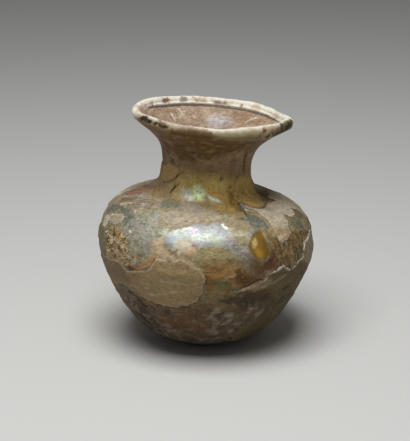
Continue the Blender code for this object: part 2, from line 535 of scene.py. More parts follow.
# Patterns of the materials, in millimetres. Dirt on the film lies in clouds with glints between them.
FILM_DIRT = Pattern(3.6, 7.0, 0.68, low=0.3, high=0.7, at_low=-0.34, at_high=0.30)
FILM_GLINTS = Pattern(1.1, 3.0, 0.6, low=0.35, high=0.65, at_low=-0.22, at_high=0.22)
# Specks of crust left on the film, down to some tenths of a millimetre, which also roughen it.
RESIDUE = Pattern(1.5, 5.0, 0.7, low=0.53, high=0.64, at_low=0.0, at_high=0.5)
FILM_ROUGH_SPECKS = Pattern(1.5, 5.0, 0.7, low=0.0, high=1.0, at_low=-0.17, at_high=0.18)
# Pits of half a millimetre, and upright streaks of a third of one, drawn two to three times as large to show.
FILM_PITS = Pattern(1.0, 3.0, 0.6, low=0.60, high=0.70, at_low=1.0, at_high=0.6)
FILM_STREAKS = Pattern(0.9, 3.0, 0.5, low=0.35, high=0.65, at_low=-0.42, at_high=0.42)
# Chalk lies in clouds, with grains and pores of half a millimetre, drawn twice as large to show.
CHALK_CLOUDS = Pattern(3.4, 7.0, 0.66, low=0.3, high=0.7, at_low=-0.24, at_high=0.24)
CHALK_GRAINS = Pattern(1.2, 3.0, 0.6, low=0.35, high=0.65, at_low=-0.2, at_high=0.2)
CHALK_PORES = Pattern(0.9, 3.0, 0.6, low=0.60, high=0.70, at_low=1.0, at_high=0.7)
CRUMB_CLOUDS = Pattern(3.0, 2.0, 0.5, low=0.3, high=0.7, at_low=0.6, at_high=1.1)
# How much flatter than wide the mottling is, and how much a streak is drawn out.
FILM_FLATNESS = 2.2
CRUST_FLATNESS = 2.6
STREAK_STRETCH = 0.1
# Clouds of sheen, the grit of the skin, and the crumbs that the crust's edge breaks into.
SHEEN_CLOUD = 6.0
GRIT_SIZE = 1.1
GRIT_HEIGHT = 0.16
FRAY_SIZE = 0.8
FRAY_DEPTH = 0.55

# How the two layers meet the light.
GLASS_IOR = 1.52
DULLED_SPECULAR = 0.35
CRUST_ROUGHNESS = 0.82
CRUMB_ROUGHNESS = 0.85
DULL_FILM_ROUGHNESS = 0.72
BRIGHT_FILM_ROUGHNESS = 0.42
FILM_MIRROR = 0.3
SHEEN_SHARE = 0.3
# A painted shadow on the film beside the crust's edge, and a painted highlight along the edge itself.
GUTTER_SHADOW = 0.75
BROKEN_EDGE_HIGHLIGHT = 0.5

# The loose crumbs of crust: sizes in millimetres, and seeds for where they lie and how they are shaped.
CRUMBS_PER_SQUARE_METRE = 500000.0
CRUMB_SIZES = (0.18, 0.45)
CRUMB_FLATNESS = 0.45
CRUMB_TILT = 0.3
CRUMB_BEND = 1.6
STREWING_SEED = 7
LENGTH_SEED = 3
WIDTH_SEED = 4

# The studio: pale paper, a pale room, and a soft box over the jar, a little towards the viewer.
PAPER = "#C4C4C2"
PAPER_SIDE = 6000.0
PAPER_ROUGHNESS = 0.9
ROOM = "#CCCBC8"
ROOM_STRENGTH = 0.23
SOFTBOX_PLACE = (-45.0, -165.0, 620.0)
SOFTBOX_AIM = (0.0, 0.0, 40.0)
SOFTBOX_SIDES = (400.0, 360.0)
SOFTBOX_WATTS = 4.6

# Sheets of thick crust, which stand proud with a broken edge. Outlines are pixels of the view.
# A sheet's strength is how strongly its broken edge shows a painted highlight, with a painted shadow beside
# it.
SHEETS = (
    Patch("low left sheet", "#917957", 0.2, 0.35, 0.6, (
        (104, 254), (107, 257), (113, 258), (118, 260), (123, 264.5), (127, 269), (131, 271.5), (137, 271),
        (145, 269), (151, 266.5), (155, 262.5), (158, 260.5), (162, 261.5), (168, 262.5), (176, 261.5),
        (183, 262.5), (189, 265.5), (196, 269), (202, 271.5), (204, 276), (204.3, 283), (203, 290),
        (201.5, 296), (196, 301), (189, 304.5), (180, 307), (170, 307.5), (163, 305), (157, 302.5),
        (150, 300), (143, 297), (137, 293), (131, 288), (126, 284.5), (121, 283.5), (117, 283),
        Round(-186, 17), Round(-200, 13), Round(-214, 18), Round(-230, 17), Round(-238, 26), Round(-226, 33),
        Round(-208, 31), Round(-196, 35), Round(-184, 31),
    )),
    Patch("right sheet", "#625233", 0.2, 0.35, 1.0, (
        (309, 226), (308.5, 232), (307.8, 236), (305.5, 240), (303, 242.5), (303.5, 248), (303, 252),
        (302, 257), (298.5, 259.5), (295, 263.5), (291.5, 267.5), (288, 269.5), (285, 267.5), (283, 264.5),
        (280.5, 267), (278, 270), (272, 271.5), (268.5, 274), (265, 279), (259, 281), (253, 283.5),
        (248, 287), (241, 288.5), (233, 289), (228, 291.5), (236, 295), (246, 296.5), (256, 298.5),
        (264, 302.5), (266, 308), (260, 315), (252, 322), (242, 329), (230, 336), Round(-62, 4),
        Round(-40, 3), Round(-20, 5), Round(0, 6), Round(16, 9), Round(34, 17), Round(30, 27), Round(18, 33),
        Round(14, 41), Round(4, 44),
    )),
    Patch("right shoulder sheet", "#AFA38D", 0.2, 0.35, 0.4, (
        (241, 204), (248, 206), (256, 208.5), (264, 208), (268, 204), (274, 201.5), (281, 203), (288, 207),
        (293, 212), (293.5, 217), (289, 216.5), (284, 213.5), (280, 211.5), (283, 216), (287, 221),
        (289.5, 228), (289.5, 234), (287, 240), (282, 242.5), (278, 240), (276.5, 235), (273.5, 230),
        (270, 225), (266, 219.5), (262, 215.5), (257, 213), (250, 212), (244, 210.5), (240, 207),
    )),
    Patch("left shoulder sheet", "#968A75", 0.2, 0.9, 0.25, (
        (109, 206), (112, 203.5), (118, 202.5), (122, 205.5), (131, 206), (133.5, 210.5), (136, 214.5),
        (139, 211.5), (144, 209), (152, 208.5), (159.5, 207.5), (160, 201.5), (164, 199.5), (170, 198),
        (172, 193), (168, 187), (163, 184), (159, 183.5), Round(-150, 54.5), Round(-186, 53), Round(-205, 51),
        Round(-203, 47), Round(-187, 46.5),
    )),
    Patch("left island", "#AFA792", 0.2, 0.5, 0.3, (
        (107, 214), (112, 213.5), (117, 214.5), (122, 215), (123, 219), (120.5, 223.5), (115, 225),
        (111, 224), (109, 220.5), (106, 222), (104, 226), (103, 223), (104.5, 218),
    )),
)

# Thinner skins of crust, a tenth of a millimetre or so, with softer edges.
SKINS = (
    Patch("centre skin", "#9E927C", 0.35, 0.8, 1.0, (
        (161, 212), (168, 209), (176, 208), (182, 204.5), (190, 202), (198, 203), (206, 206.5), (214, 212),
        (224, 215), (233, 218), (238, 221), (232, 222.5), (222, 221.5), (212, 221.5), (202, 220.5),
        (194, 222.5), (190, 226), (182, 229), (174, 229), (166, 226), (161, 220),
    )),
    Patch("streaks right of centre", "#938567", 0.3, 0.9, 0.9, (
        (226, 222), (236, 221), (246, 223), (252, 226), (250, 230), (241, 230), (232, 228), (226, 226),
    )),
    Patch("cream chip on the left", "#B5B5A8", 0.2, 0.2, 1.0, (
        (134.5, 208.5), (137.5, 209), (138, 212), (136, 214.5), (134, 212.5),
    )),
    Patch("cream chip below", "#D2C8B2", 0.2, 0.1, 1.0, (
        (128.6, 230), (131.4, 230.4), (131.2, 232.8), (129, 233.3),
    )),
    Patch("cream chip over the sheet", "#D1BEA0", 0.2, 0.15, 1.0, (
        (156.5, 259), (160, 258.4), (161, 260.4), (158.5, 261.4), (156, 260.8),
    )),
    Patch("left edge scab", "#AFA48C", 0.2, 0.3, 1.0, (
        (106.5, 216), (109.5, 215), (110, 218.5), (107.5, 221), (106, 225.5), (104.2, 228), (103.4, 225),
        (104.8, 220),
    )),
    Patch("neck flake", "#B99A69", 0.35, 0.45, 0.85, (
        (163, 166), (168, 163), (174, 165), (178, 169), (179, 173), (177, 177), (173, 180), (167, 182),
        (162.5, 180), (161.5, 173),
    )),
)

# Colours within the crust.
CRUST_COLOURS = (
    Patch("sheet lighter middle", "#94805A", 2.0, 1.0, 0.8, (
        (138, 275), (160, 268), (185, 268), (198, 276), (200, 290), (185, 300), (160, 292), (142, 284),
    )),
    Patch("sheet pinkish left", "#79654B", 2.5, 1.0, 0.9, (
        (104, 256), (120, 264), (134, 276), (136, 290), (124, 284), (117, 282), Round(-190, 18),
        Round(-190, 29),
    )),
    # Paler crust round the right flank, lightened further as painted rim light.
    Patch("right sheet rim-lit flank", "#8A7A5E", 1.2, 0.5, 1.0, (
        (309, 226), (307, 238), (303, 244), (304, 252), (301, 258), (305, 262), Round(-2, 26), Round(12, 28),
        Round(14, 41), Round(4, 44),
    )),
    # A painted shadow under the right sheet's ridge.
    Patch("right ridge shadow", "#3A2412", 2.6, 0.6, 0.8, (
        (234, 294), (246, 291.5), (258, 289.5), (268, 292), (272, 298), (262, 303), (248, 304), (236, 301),
    )),
    Patch("right sheet low", "#4C4128", 3.0, 0.6, 0.9, (
        (262, 301), (276, 295), (288, 288), (292, 296), (278, 314), (262, 329), (244, 339), (240, 334),
        (254, 322),
    )),
    Patch("right sheet ridge", "#876F4D", 0.8, 0.6, 1.0, (
        (268, 275), (262, 281), (252, 285), (246, 288), (232, 290), (228, 292), (236, 293), (250, 289.5),
        (262, 287), (272, 281),
    )),
    Patch("right shoulder pinkish foot", "#957D5A", 1.5, 0.8, 0.9, (
        (270, 226), (288, 226), (290, 236), (284, 243), (277, 240), (274, 232),
    )),
    Patch("left shoulder upper", "#7D4D2B", 1.5, 0.8, 0.9, (
        (134, 189), (150, 185), (160, 184), (166, 187), (160, 193), (148, 192), (136, 192),
    )),
    Patch("left shoulder whitish", "#736551", 2.2, 1.0, 0.8, (
        (111, 203), (118, 197), (126, 193), (136, 195), (146, 197), (152, 203), (140, 206), (134, 210),
        (128, 205), (116, 205),
    )),
    Patch("left shoulder tan", "#A48A5E", 2.2, 1.0, 0.9, (
        (146, 190), (158, 185), (170, 184), (178, 188), (172, 196), (160, 200), (150, 199),
    )),
    Patch("left shoulder pale ridge", "#654D36", 0.5, 0.8, 0.9, (
        (113, 202), (117, 198), (123, 196), (130, 197), (140, 197), (144, 199), (134, 200), (122, 201),
    )),
    Patch("left shoulder crest", "#BCAE98", 0.5, 0.8, 0.9, (
        (112, 201), (117, 196), (122, 192), (126, 193), (124, 197.5), (118, 201),
    )),
    Patch("left shoulder red streak", "#7C4636", 0.35, 0.5, 0.95, (
        (127, 194.2), (132, 192.7), (139, 192.8), (144, 193.8), (139, 195.3), (131, 196), (127.5, 196),
    )),
    Patch("left island core", "#94846D", 0.8, 0.5, 0.9, (
        (110, 215), (122, 215.5), (122, 220), (117, 224), (111, 222),
    )),
)

# The bared glass and its thin weathering film, by place.
FILMS = (
    Film("right belly ground", "#926426", 0.4, 3.0, 2.0, 1.0, (
        (205, 260), (222, 262), (240, 262), (256, 264), (268, 262), (278, 258), (290, 268), (276, 275),
        (262, 284), (246, 290), (228, 294), (206, 292),
    )),
    Film("left belly ground", "#A5875B", 0.35, 2.0, 1.5, 0.9, (
        (104, 230), (120, 226), (124, 240), (134, 254), (148, 248), (164, 247), (178, 256), (198, 266),
        (160, 264), (146, 270), (130, 272), (112, 262), (103, 250),
    )),
    Film("neck left ground", "#B59A6D", 0.1, 2.0, 1.0, 0.9, (
        (159, 163), (176, 160), (186, 166), (190, 178), (180, 184), (168, 186), (157, 186), (158, 174),
    )),
    Film("neck left mauve", "#603A17", 0.1, 1.2, 1.0, 0.8, (
        (160, 142), (168, 141), (171, 150), (170, 158), (172, 163), (163, 164), (161, 152),
    )),
    Film("neck middle", "#8E734F", 0.1, 2.5, 0.8, 1.0, (
        (164, 150), (180, 155), (210, 156), (235, 152), (252, 151), (251, 166), (251, 176), (230, 174),
        (200, 168), (180, 168), (163, 166),
    )),
    Film("neck upper stain", "#62451A", 0.1, 0.7, 0.8, 1.0, (
        (150, 129), (165, 131.5), (172, 133), (185, 135), (200, 138), (216, 140), (235, 142), (262, 139),
        (254, 144), (245, 146), (237.5, 149), (230, 152.5), (217.5, 155.6), (210, 157.5), (202.5, 159.4),
        (197, 161), (193.5, 165.5), (190, 164.5), (184, 160), (178.7, 158.7), (175, 151), (172, 146),
        (164, 142), (158, 137),
    )),
    Film("neck foot", "#DCBE6B", 0.2, 4.0, 0.6, 0.95, (
        (181, 180), (192, 178), (206, 178), (222, 180), (234, 184), (238, 191), (231, 196), (221, 194),
        (209, 190), (199, 187), (187, 187),
    )),
    Film("fillet left", "#B79F61", 0.2, 2.2, 0.8, 0.9, (
        (162, 184), (172, 181), (181, 184), (182, 192), (180, 201), (170, 200), (163, 197), (160, 190),
    )),
    Film("fillet right olive", "#C6A45C", 0.2, 1.5, 1.0, 0.95, (
        (226, 183), (240, 178), (251, 178), (254, 188), (260, 197), (263, 207), (252, 207), (242, 204),
        (232, 206), (226, 198),
    )),
    Film("right dark shoulder", "#694A12", 0.25, 1.0, 1.0, 1.0, (
        (254, 187), (264, 189), (274, 192.5), (284, 198), (291, 202), (296, 208), (290, 207), (280, 203),
        (272, 202), (264, 200), (257, 196), Round(-20, 52.5), Round(0, 50), Round(2, 47), Round(-14, 49),
    )),
    # Iridescent film on the fillet, lightened into painted highlights of lilac, mint and a pale sliver.
    Film("lilac highlight on the fillet", "#D7D1BD", 0.9, 1.8, 0.3, 0.9, (
        (182, 189.5), (188, 188), (192, 191), (194, 196), (194, 200), (189, 201.5), (183, 199.5),
        (181, 194.5),
    )),
    Film("mint highlight on the fillet", "#E2F6B2", 0.9, 1.5, 0.25, 1.0, (
        (191, 188), (196, 186.5), (201, 188.5), (204, 193), (203, 198.5), (198, 200), (194, 197),
        (191.5, 192),
    )),
    Film("highlight sliver on the fillet", "#D5D9B5", 0.9, 0.4, 0.25, 1.0, (
        (207.5, 195), (212, 196), (218, 198.5), (223, 202), (221, 203.7), (213, 202), (208.5, 198.5),
    )),
    Film("fillet orange", "#C8960F", 0.7, 0.5, 0.3, 0.95, (
        (208, 190.5), (215, 192), (222, 194), (225.5, 198), (223, 201), (218, 198), (210, 195),
    )),
    Film("fillet golden", "#AD8C46", 0.5, 0.8, 0.6, 1.0, (
        (213, 203.5), (221, 201.5), (228, 201), (233, 205), (235, 209), (230, 212), (222, 211), (215, 208),
    )),
    Film("brown streak", "#75531B", 0.15, 0.9, 0.9, 0.7, (
        (229, 191.5), (233, 195), (236, 200), (240, 204), (242, 209), (246, 215), (243, 215.5), (239, 210),
        (236, 207), (232, 203), (230, 197),
    )),
    Film("left grey-green belly", "#999480", 0.75, 1.2, 1.0, 1.0, (
        (127, 207), (134, 212), (138, 214), (143, 211), (152, 209), (161, 210), (163, 222), (166, 228),
        (164, 236), (160, 244), (153, 252), (146, 260), (138, 265), (131, 268), (126, 256), (122, 246),
        (121, 232), (122, 218),
    )),
    Film("below the amber", "#57461B", 0.3, 1.2, 0.5, 0.9, (
        (245, 251), (249, 256), (255, 260.5), (262, 262.5), (260, 267), (250, 264), (245, 258),
    )),
    Film("left shoulder slate", "#65685C", 0.6, 0.7, 0.8, 1.0, (
        (104, 215), (108, 208.5), (113, 204.5), (120, 205.5), (129, 207.5), (131.5, 211), (132, 216),
        (129, 222), (126, 225), (125, 219), (122, 213), (112, 212.5), (107, 214),
    )),
    Film("left blue strip", "#848471", 0.6, 0.4, 0.4, 1.0, (
        (160, 202.5), (168, 201), (176.5, 200.5), (180, 204), (176, 207), (168, 208), (160.5, 208.5),
    )),
    Film("left edge", "#6E6343", 0.35, 1.0, 0.8, 1.0, (
        (101, 226), (107, 226), (112, 234), (112, 246), (106, 256), (103, 252), Round(-182, 29),
        Round(-182, 38),
    )),
    Film("left brown pitting", "#836433", 0.35, 1.2, 1.6, 0.9, (
        (110, 228), (119, 230), (125, 240), (133, 250), (138, 258), (131, 268), (122, 262), (112, 252),
        (108, 240),
    )),
    Film("shoulder silver", "#A8ABA9", 1.0, 1.8, 1.2, 0.9, (
        (164, 231), (176, 226), (190, 224), (206, 222.5), (222, 223.5), (232, 228), (237, 234), (230, 242),
        (216, 246), (200, 248), (184, 246), (172, 248), (165, 243),
    )),
    # A painted highlight: a small bright streak on the silvery film.
    Film("painted highlight fleck", "#F0EEE6", 0.8, 0.3, 0.15, 1.0, (
        (220.5, 224.5), (223, 224.3), (226, 226.5), (228, 229.5), (226.5, 230), (223.5, 228),
    )),
    Film("silver lilac left", "#9FA7AA", 1.0, 1.0, 0.7, 0.8, (
        (165, 234), (172, 232), (178, 237), (177, 246), (171, 249), (165, 244),
    )),
    Film("silver mint", "#949980", 0.9, 1.2, 0.8, 0.8, (
        (205, 243), (214, 238), (224, 240), (226, 248), (217, 252), (206, 251),
    )),
    Film("cream below silver", "#C8BBA4", 0.5, 1.0, 0.8, 0.85, (
        (177, 241), (188, 239), (200, 244), (198, 249), (186, 252), (178, 256), (172, 252),
    )),
    Film("yellow left of silver", "#B6B698", 0.6, 0.8, 0.8, 0.8, (
        (158, 238), (164, 228), (170, 226), (174, 229), (168, 234), (164, 242), (160, 247), (156, 250),
    )),
    Film("tan tongue", "#B69F7A", 0.2, 1.3, 1.3, 0.9, (
        (131, 270), (137, 268), (144, 264), (149, 258), (152, 251), (156, 244), (161, 239), (165, 241),
        (166, 248), (170, 254), (176, 257), (184, 260), (192, 263), (198, 267), (200, 270), (188, 266),
        (172, 262), (160, 260), (154, 263), (146, 268), (140, 271),
    )),
    Film("cream above the sheet", "#BEA688", 0.3, 1.2, 1.0, 0.8, (
        (160, 250), (168, 250), (176, 257), (184, 260), (180, 263), (168, 262), (160, 259),
    )),
    Film("gold strip above the sheet", "#996927", 0.35, 0.7, 0.5, 0.95, (
        (127, 266.5), (134, 266), (142, 263.5), (150, 260.5), (157, 257.5), (158, 260.5), (153, 265),
        (146, 269), (138, 271.5), (131, 271),
    )),
    Film("gold strip shadow", "#4A3416", 0.3, 0.7, 0.3, 0.9, (
        (125, 263.5), (129, 264), (133, 268), (136, 271), (130, 271.5), (126.5, 268),
    )),
    Film("coral tint", "#D8AE87", 0.6, 0.8, 0.5, 0.9, (
        (186, 249), (192, 247), (197, 249), (197, 254), (190, 256), (186, 253),
    )),
    Film("olive belly", "#9D8C5F", 0.55, 1.0, 1.0, 1.0, (
        (194, 252), (204, 249), (216, 249), (226, 251), (232, 256), (228, 260), (214, 262), (202, 266),
        (195, 263), (190, 259),
    )),
    Film("tan belly", "#8E733D", 0.45, 1.2, 1.0, 1.0, (
        (203, 262), (214, 260), (230, 256), (238, 262), (238, 270), (228, 272), (214, 268), (205, 268),
    )),
    Film("right of silver streaks", "#ABA282", 0.7, 1.2, 1.0, 0.9, (
        (230, 229), (242, 231), (250, 234), (250, 240), (240, 239), (230, 240), (226, 236),
    )),
    Film("lilac belly", "#A09690", 0.8, 1.2, 1.0, 1.0, (
        (227, 239), (236, 239), (243, 244), (249, 252), (252, 259), (246, 264), (240, 260), (234, 253),
        (228, 247),
    )),
    Film("mauve belly", "#76664D", 0.5, 2.2, 0.9, 0.9, (
        (243, 259), (252, 259), (258, 267), (264, 276), (253, 277), (243, 272), (238, 264),
    )),
    Film("blue-grey right", "#67685A", 0.4, 0.5, 0.6, 1.0, (
        (240, 217), (248, 214.5), (256, 215), (262, 217.5), (266, 222), (269, 227), (267, 231), (260, 230),
        (252, 227), (245, 224.5), (240, 221),
    )),
    Film("blue glint right", "#8F9188", 0.9, 0.7, 0.4, 0.9, (
        (248, 228), (255, 229), (257, 233), (253, 236), (248, 233),
    )),
    Film("olive beside amber", "#958154", 0.5, 0.8, 0.6, 1.0, (
        (262, 229), (270, 229), (274, 234), (276, 240), (270, 243), (265, 237),
    )),
    Film("right brown belly", "#6E5630", 0.35, 0.6, 0.6, 1.0, (
        (268, 236), (276, 237), (279, 242), (286, 243), (290, 236), (291, 230), (298, 229), (305, 229),
        (308, 233), (305, 239), (302.5, 243), (303, 252), (300, 259), (293, 266), (288, 269), (283, 264),
        (277, 270), (272, 269), (276, 258), (270, 250), (267, 242),
    )),
    Film("far right green", "#6F6A50", 0.65, 0.7, 0.6, 1.0, (
        (287, 213), (292, 216), (297, 213), (302, 217), (304, 223), (302, 229), (296, 229), (291, 224),
        (288, 218), Round(-2, 43), Round(0, 40),
    )),
    Film("rusty belly", "#5C3C1D", 0.3, 1.8, 0.6, 0.9, (
        (254, 261), (260, 261.5), (264, 262), (270, 253.5), (275, 256), (275, 264), (270, 271), (265, 277),
        (258, 276), (253, 269),
    )),
    Film("dark red", "#532B16", 0.3, 1.1, 0.5, 0.95, (
        (263, 262), (267, 258), (270, 253.5), (274, 256), (275, 262), (272, 268), (268, 270.5), (263, 268),
    )),
    Film("dark gold", "#5F3F10", 0.4, 0.9, 0.3, 0.9, (
        (264, 264), (268, 262), (272, 265), (271, 269), (267, 270.5), (263.5, 267.5),
    )),
    Film("amber rim", "#6A5116", 0.25, 0.4, 0.3, 1.0, (
        (258, 230.5), (263, 233), (267, 239), (269.5, 247), (270, 254), (267, 260), (262, 261.5), (256, 258),
        (251.5, 253), (249, 247), (250.5, 240), (254, 235),
    )),
    Film("amber window", "#7B5B09", 0.3, 0.3, 0.35, 1.0, (
        (259, 232.5), (262, 236.5), (264.5, 240.5), (265.5, 246), (267, 251), (266.5, 256), (263.5, 260.5),
        (260, 259), (257, 255.5), (253, 252), (251, 247), (252.5, 240.5), (256, 236),
    )),
    Film("amber shade", "#6A4A0E", 0.3, 0.7, 0.2, 0.8, (
        (259, 235.5), (263, 238.5), (266, 244), (266.5, 250), (264, 249), (261, 242), (257.5, 238.5),
    )),
    Film("amber glow", "#B08420", 0.3, 0.6, 0.2, 0.8, (
        (254, 250), (258, 248.5), (262, 251), (264, 256), (262, 259), (257, 256.5),
    )),
    # A painted highlight on the upper left of the amber glass.
    Film("amber highlight", "#B9A65E", 0.5, 0.5, 0.2, 0.9, (
        (252, 241), (255.5, 238.5), (257, 243), (256, 248), (253, 248),
    )),
    Film("orange low belly", "#946C28", 0.5, 1.6, 0.7, 1.0, (
        (206, 270), (214, 267), (224, 268), (234, 271), (228, 276), (220, 280.5), (213, 283), (208, 278),
    )),
    Film("brown wedge", "#744D0D", 0.45, 0.5, 0.5, 1.0, (
        (204, 281), (206, 276), (210, 277), (214, 281), (213, 286), (211, 290), (207, 291), (204, 287),
    )),
    Film("green low belly", "#5C5A2C", 0.45, 1.3, 0.6, 1.0, (
        (216, 283.5), (223, 281.3), (230, 283), (230, 287.5), (223, 291.5), (216, 289.5),
    )),
    Film("brown triangle", "#60400D", 0.3, 0.9, 0.5, 1.0, (
        (236, 271), (243, 271), (251, 274), (259, 276.5), (264, 277.5), (262, 280.5), (255, 283), (248, 287),
        (243, 287.5), (239, 284), (235, 279),
    )),
    # Brown film under the right sheet's ridge, darkened further as painted shadow.
    Film("low brown in the ridge's shadow", "#3C2A16", 0.25, 1.0, 1.0, 1.0, (
        (224, 296), (238, 294.5), (252, 291.5), (260, 294), (264, 301), (258, 308), (240, 309), (226, 304),
    )),
    Film("low bloom", "#52472C", 0.3, 2.5, 2.5, 0.8, (
        (204, 312), (220, 311), (240, 313), (246, 322), (232, 329), (214, 330), (204, 324),
    )),
    Film("low rosy", "#5C3F1F", 0.25, 2.5, 1.8, 0.9, (
        (162, 309), (190, 308), (208, 306), (206, 318), (204, 330), (182, 331), (162, 322),
    )),
    Film("low left dark", "#321E0D", 0.25, 1.5, 1.5, 0.8, (
        (137, 304), (146, 306), (155, 320), (160, 332), (150, 330), (140, 318),
    )),
    Film("bottom rim", "#4E4634", 0.2, 1.2, 1.2, 0.9, (
        (152, 331), (168, 337), (190, 341), (215, 341), (240, 337), (256, 328), (262, 331), (245, 341),
        (220, 345), (190, 345), (165, 340),
    )),
)

# Places on the lip and inside the mouth.
MOUTH_COLOURS = (
    Patch("back blotch left", "#705032", 0.5, 0.7, 0.9, (
        (161, 97.5), (171, 97), (171, 103.5), (162, 104.5),
    )),
    Patch("back blotch middle", "#645C4C", 0.5, 0.7, 0.7, ((181, 98), (185, 98), (185, 103), (181, 103))),
    Patch("back blotch right", "#A48E72", 0.5, 0.7, 0.9, ((194, 98.5), (206, 98.5), (207, 103), (194, 103))),
    Patch("back blush", "#553720", 0.8, 0.4, 0.8, ((212, 100), (226, 101), (229, 107), (214, 104.5))),
    Patch("back nick", "#8A7558", 0.3, 0.2, 0.9, ((240, 104), (242.5, 104), (242.5, 109), (240, 109))),
    Patch("left blush", "#AB9584", 0.8, 0.5, 0.9, (
        (138, 108), (145, 105.5), (152, 104.5), (158, 106), (151, 112), (143, 114), (138, 112.5),
    )),
    Patch("left underlip", "#7C6443", 0.5, 0.4, 1.0, (
        (138, 116.5), (142, 118.5), (150, 122), (158, 125.5), (166, 128.5), (177, 131), (177, 140),
        (160, 135.5), (150, 130), (141, 123), (137, 119),
    )),
    Patch("front stain", "#5E4521", 0.6, 0.5, 1.0, (
        (171, 130), (180, 129), (192, 129.5), (203, 131), (210, 133.5), (215, 138.5), (213, 141), (200, 140),
        (185, 137), (172, 134.5),
    )),
    Patch("front underside", "#7C6744", 0.9, 0.6, 0.9, (
        (214, 137.5), (230, 138), (250, 137), (262, 134.5), (262, 139), (240, 141.5), (216, 141),
    )),
    Patch("left chip", "#2B1A0D", 0.25, 0.5, 1.0, (
        (140, 116.5), (145, 116.7), (150, 119.3), (155, 122), (158, 124.5), (153, 125), (146, 122.5),
        (141, 119.5),
    ), 0.35),
    Patch("left chip right", "#3B280D", 0.3, 0.3, 1.0, (
        (157, 124), (161, 122.6), (165, 123), (168.5, 126.5), (167, 129.5), (160, 128.3),
    ), 0.3),
    Patch("right end dark", "#5B4E31", 0.5, 0.3, 1.0, (
        (280.5, 124.5), (284, 121.5), (289, 119), (292, 120.5), (292.3, 125), (289, 129.5), (284, 132.8),
        (277, 135.8), (270, 138), (272, 134.5), (277.5, 130.5),
    )),
    Patch("right end pit", "#1F1D13", 0.3, 0.7, 0.85, (
        (283, 125.5), (288.5, 121.8), (291, 124.5), (288, 128.8), (283, 131.5), (280.5, 129.5),
    )),
    Patch("right end blotch", "#6A5637", 0.3, 0.4, 0.85, (
        (270, 132), (275, 129), (280, 126.5), (281, 129.5), (276, 133.5), (271, 135),
    )),
    Patch("right end fleck", "#4A3A22", 0.2, 0.2, 0.9, (
        (271.5, 128), (274, 126.8), (274.5, 128.5), (272, 129.5),
    )),
    Patch("right spot", "#65480E", 0.2, 0.1, 1.0, (
        (262.5, 129.5), (266, 129.5), (266, 132.5), (262.5, 132.5),
    )),
    Patch("right slit", "#3A2A12", 0.25, 0.2, 1.0, (
        (263.5, 136), (269, 133.8), (270.5, 135.5), (265, 138.3),
    )),
    # A lilac patch inside the mouth, lightened as a painted highlight.
    Patch("lilac highlight inside", "#AEA8A7", 2.2, 1.2, 0.8, (
        (206, 119), (213, 115), (222, 116), (229, 119), (229, 125), (220, 128), (210, 127),
    )),
    Patch("inside front pale", "#97806A", 1.2, 0.8, 0.8, (
        (172, 122), (190, 123), (206, 126), (206, 130), (188, 129), (172, 126),
    )),
    Patch("inside yellow", "#C5AC92", 0.5, 0.5, 0.8, (
        (203, 111.5), (209, 111.5), (209, 116.5), (203, 116.5),
    )),
    Patch("inside right warm", "#897054", 1.2, 1.0, 0.8, (
        (235, 112), (262, 116), (276, 119), (262, 124), (240, 126), (234, 120),
    )),
)

# Cracks and slits: dark grooves through the skin.
GROOVES = (
    Groove("neck crack", 0.55, 0.3, (
        (246.7, 154.5), (245.3, 157.5), (244.5, 162), (244.3, 168), (244, 171),
    )),
    Groove("flake rim", 0.28, 0.15, ((163, 181.3), (167.5, 182), (172, 180.3), (176, 177), (177.5, 174.5))),
    Groove("flake tail", 0.25, 0.12, ((176, 177), (180, 173.5), (183, 171.5))),
    Groove("foot crack", 0.35, 0.15, ((236, 199.5), (240, 204), (243, 209.5), (246, 214))),
    Groove("foot crack beside", 0.3, 0.12, (
        (241, 202.5), (248, 205.7), (257, 208.8), (263, 208), (266, 203.5),
    )),
    Groove("foot crack low", 0.3, 0.12, ((243, 206.5), (250, 210.3), (258, 213))),
    Groove("neck nick left", 0.3, 0.15, ((166.5, 150), (168.3, 153))),
    Groove("neck slit", 0.3, 0.2, ((178.5, 184), (175, 187), (172.5, 190.5), (170.5, 194))),
    Groove("neck slit beside", 0.28, 0.15, ((175, 185), (173, 188.5), (171.5, 191.5))),
    Groove("shoulder arc", 0.25, 0.1, ((171, 254), (175, 252.5), (178, 249.5))),
    Groove("low scratch", 0.35, 0.2, ((126, 287.5), (130, 291), (134, 295), (139, 299), (144, 305))),
    Groove("low scratch beside", 0.3, 0.15, ((139, 300), (143, 306), (147, 311), (152, 316))),
    Groove("low pit row", 0.6, 0.25, ((140.5, 313.5), (143, 316), (146, 319))),
    Groove("low pit row right", 0.5, 0.2, ((148, 321), (151, 325), (153, 328))),
    Groove("low slit middle", 0.45, 0.2, ((219.5, 300.5), (223, 301.3), (226.5, 302.5))),
    Groove("right slit", 0.5, 0.2, ((283.5, 288.5), (286.5, 285.5), (289, 283.5))),
    Groove("right dot", 0.45, 0.2, ((304.3, 264.5), (304.6, 266.5))),
    Groove("right dot below", 0.4, 0.15, ((300.5, 271.5), (301.5, 273))),
    Groove("rim crack", 0.25, 0.15, ((151.5, 101.5), (152.5, 104), (151.5, 107))),
)
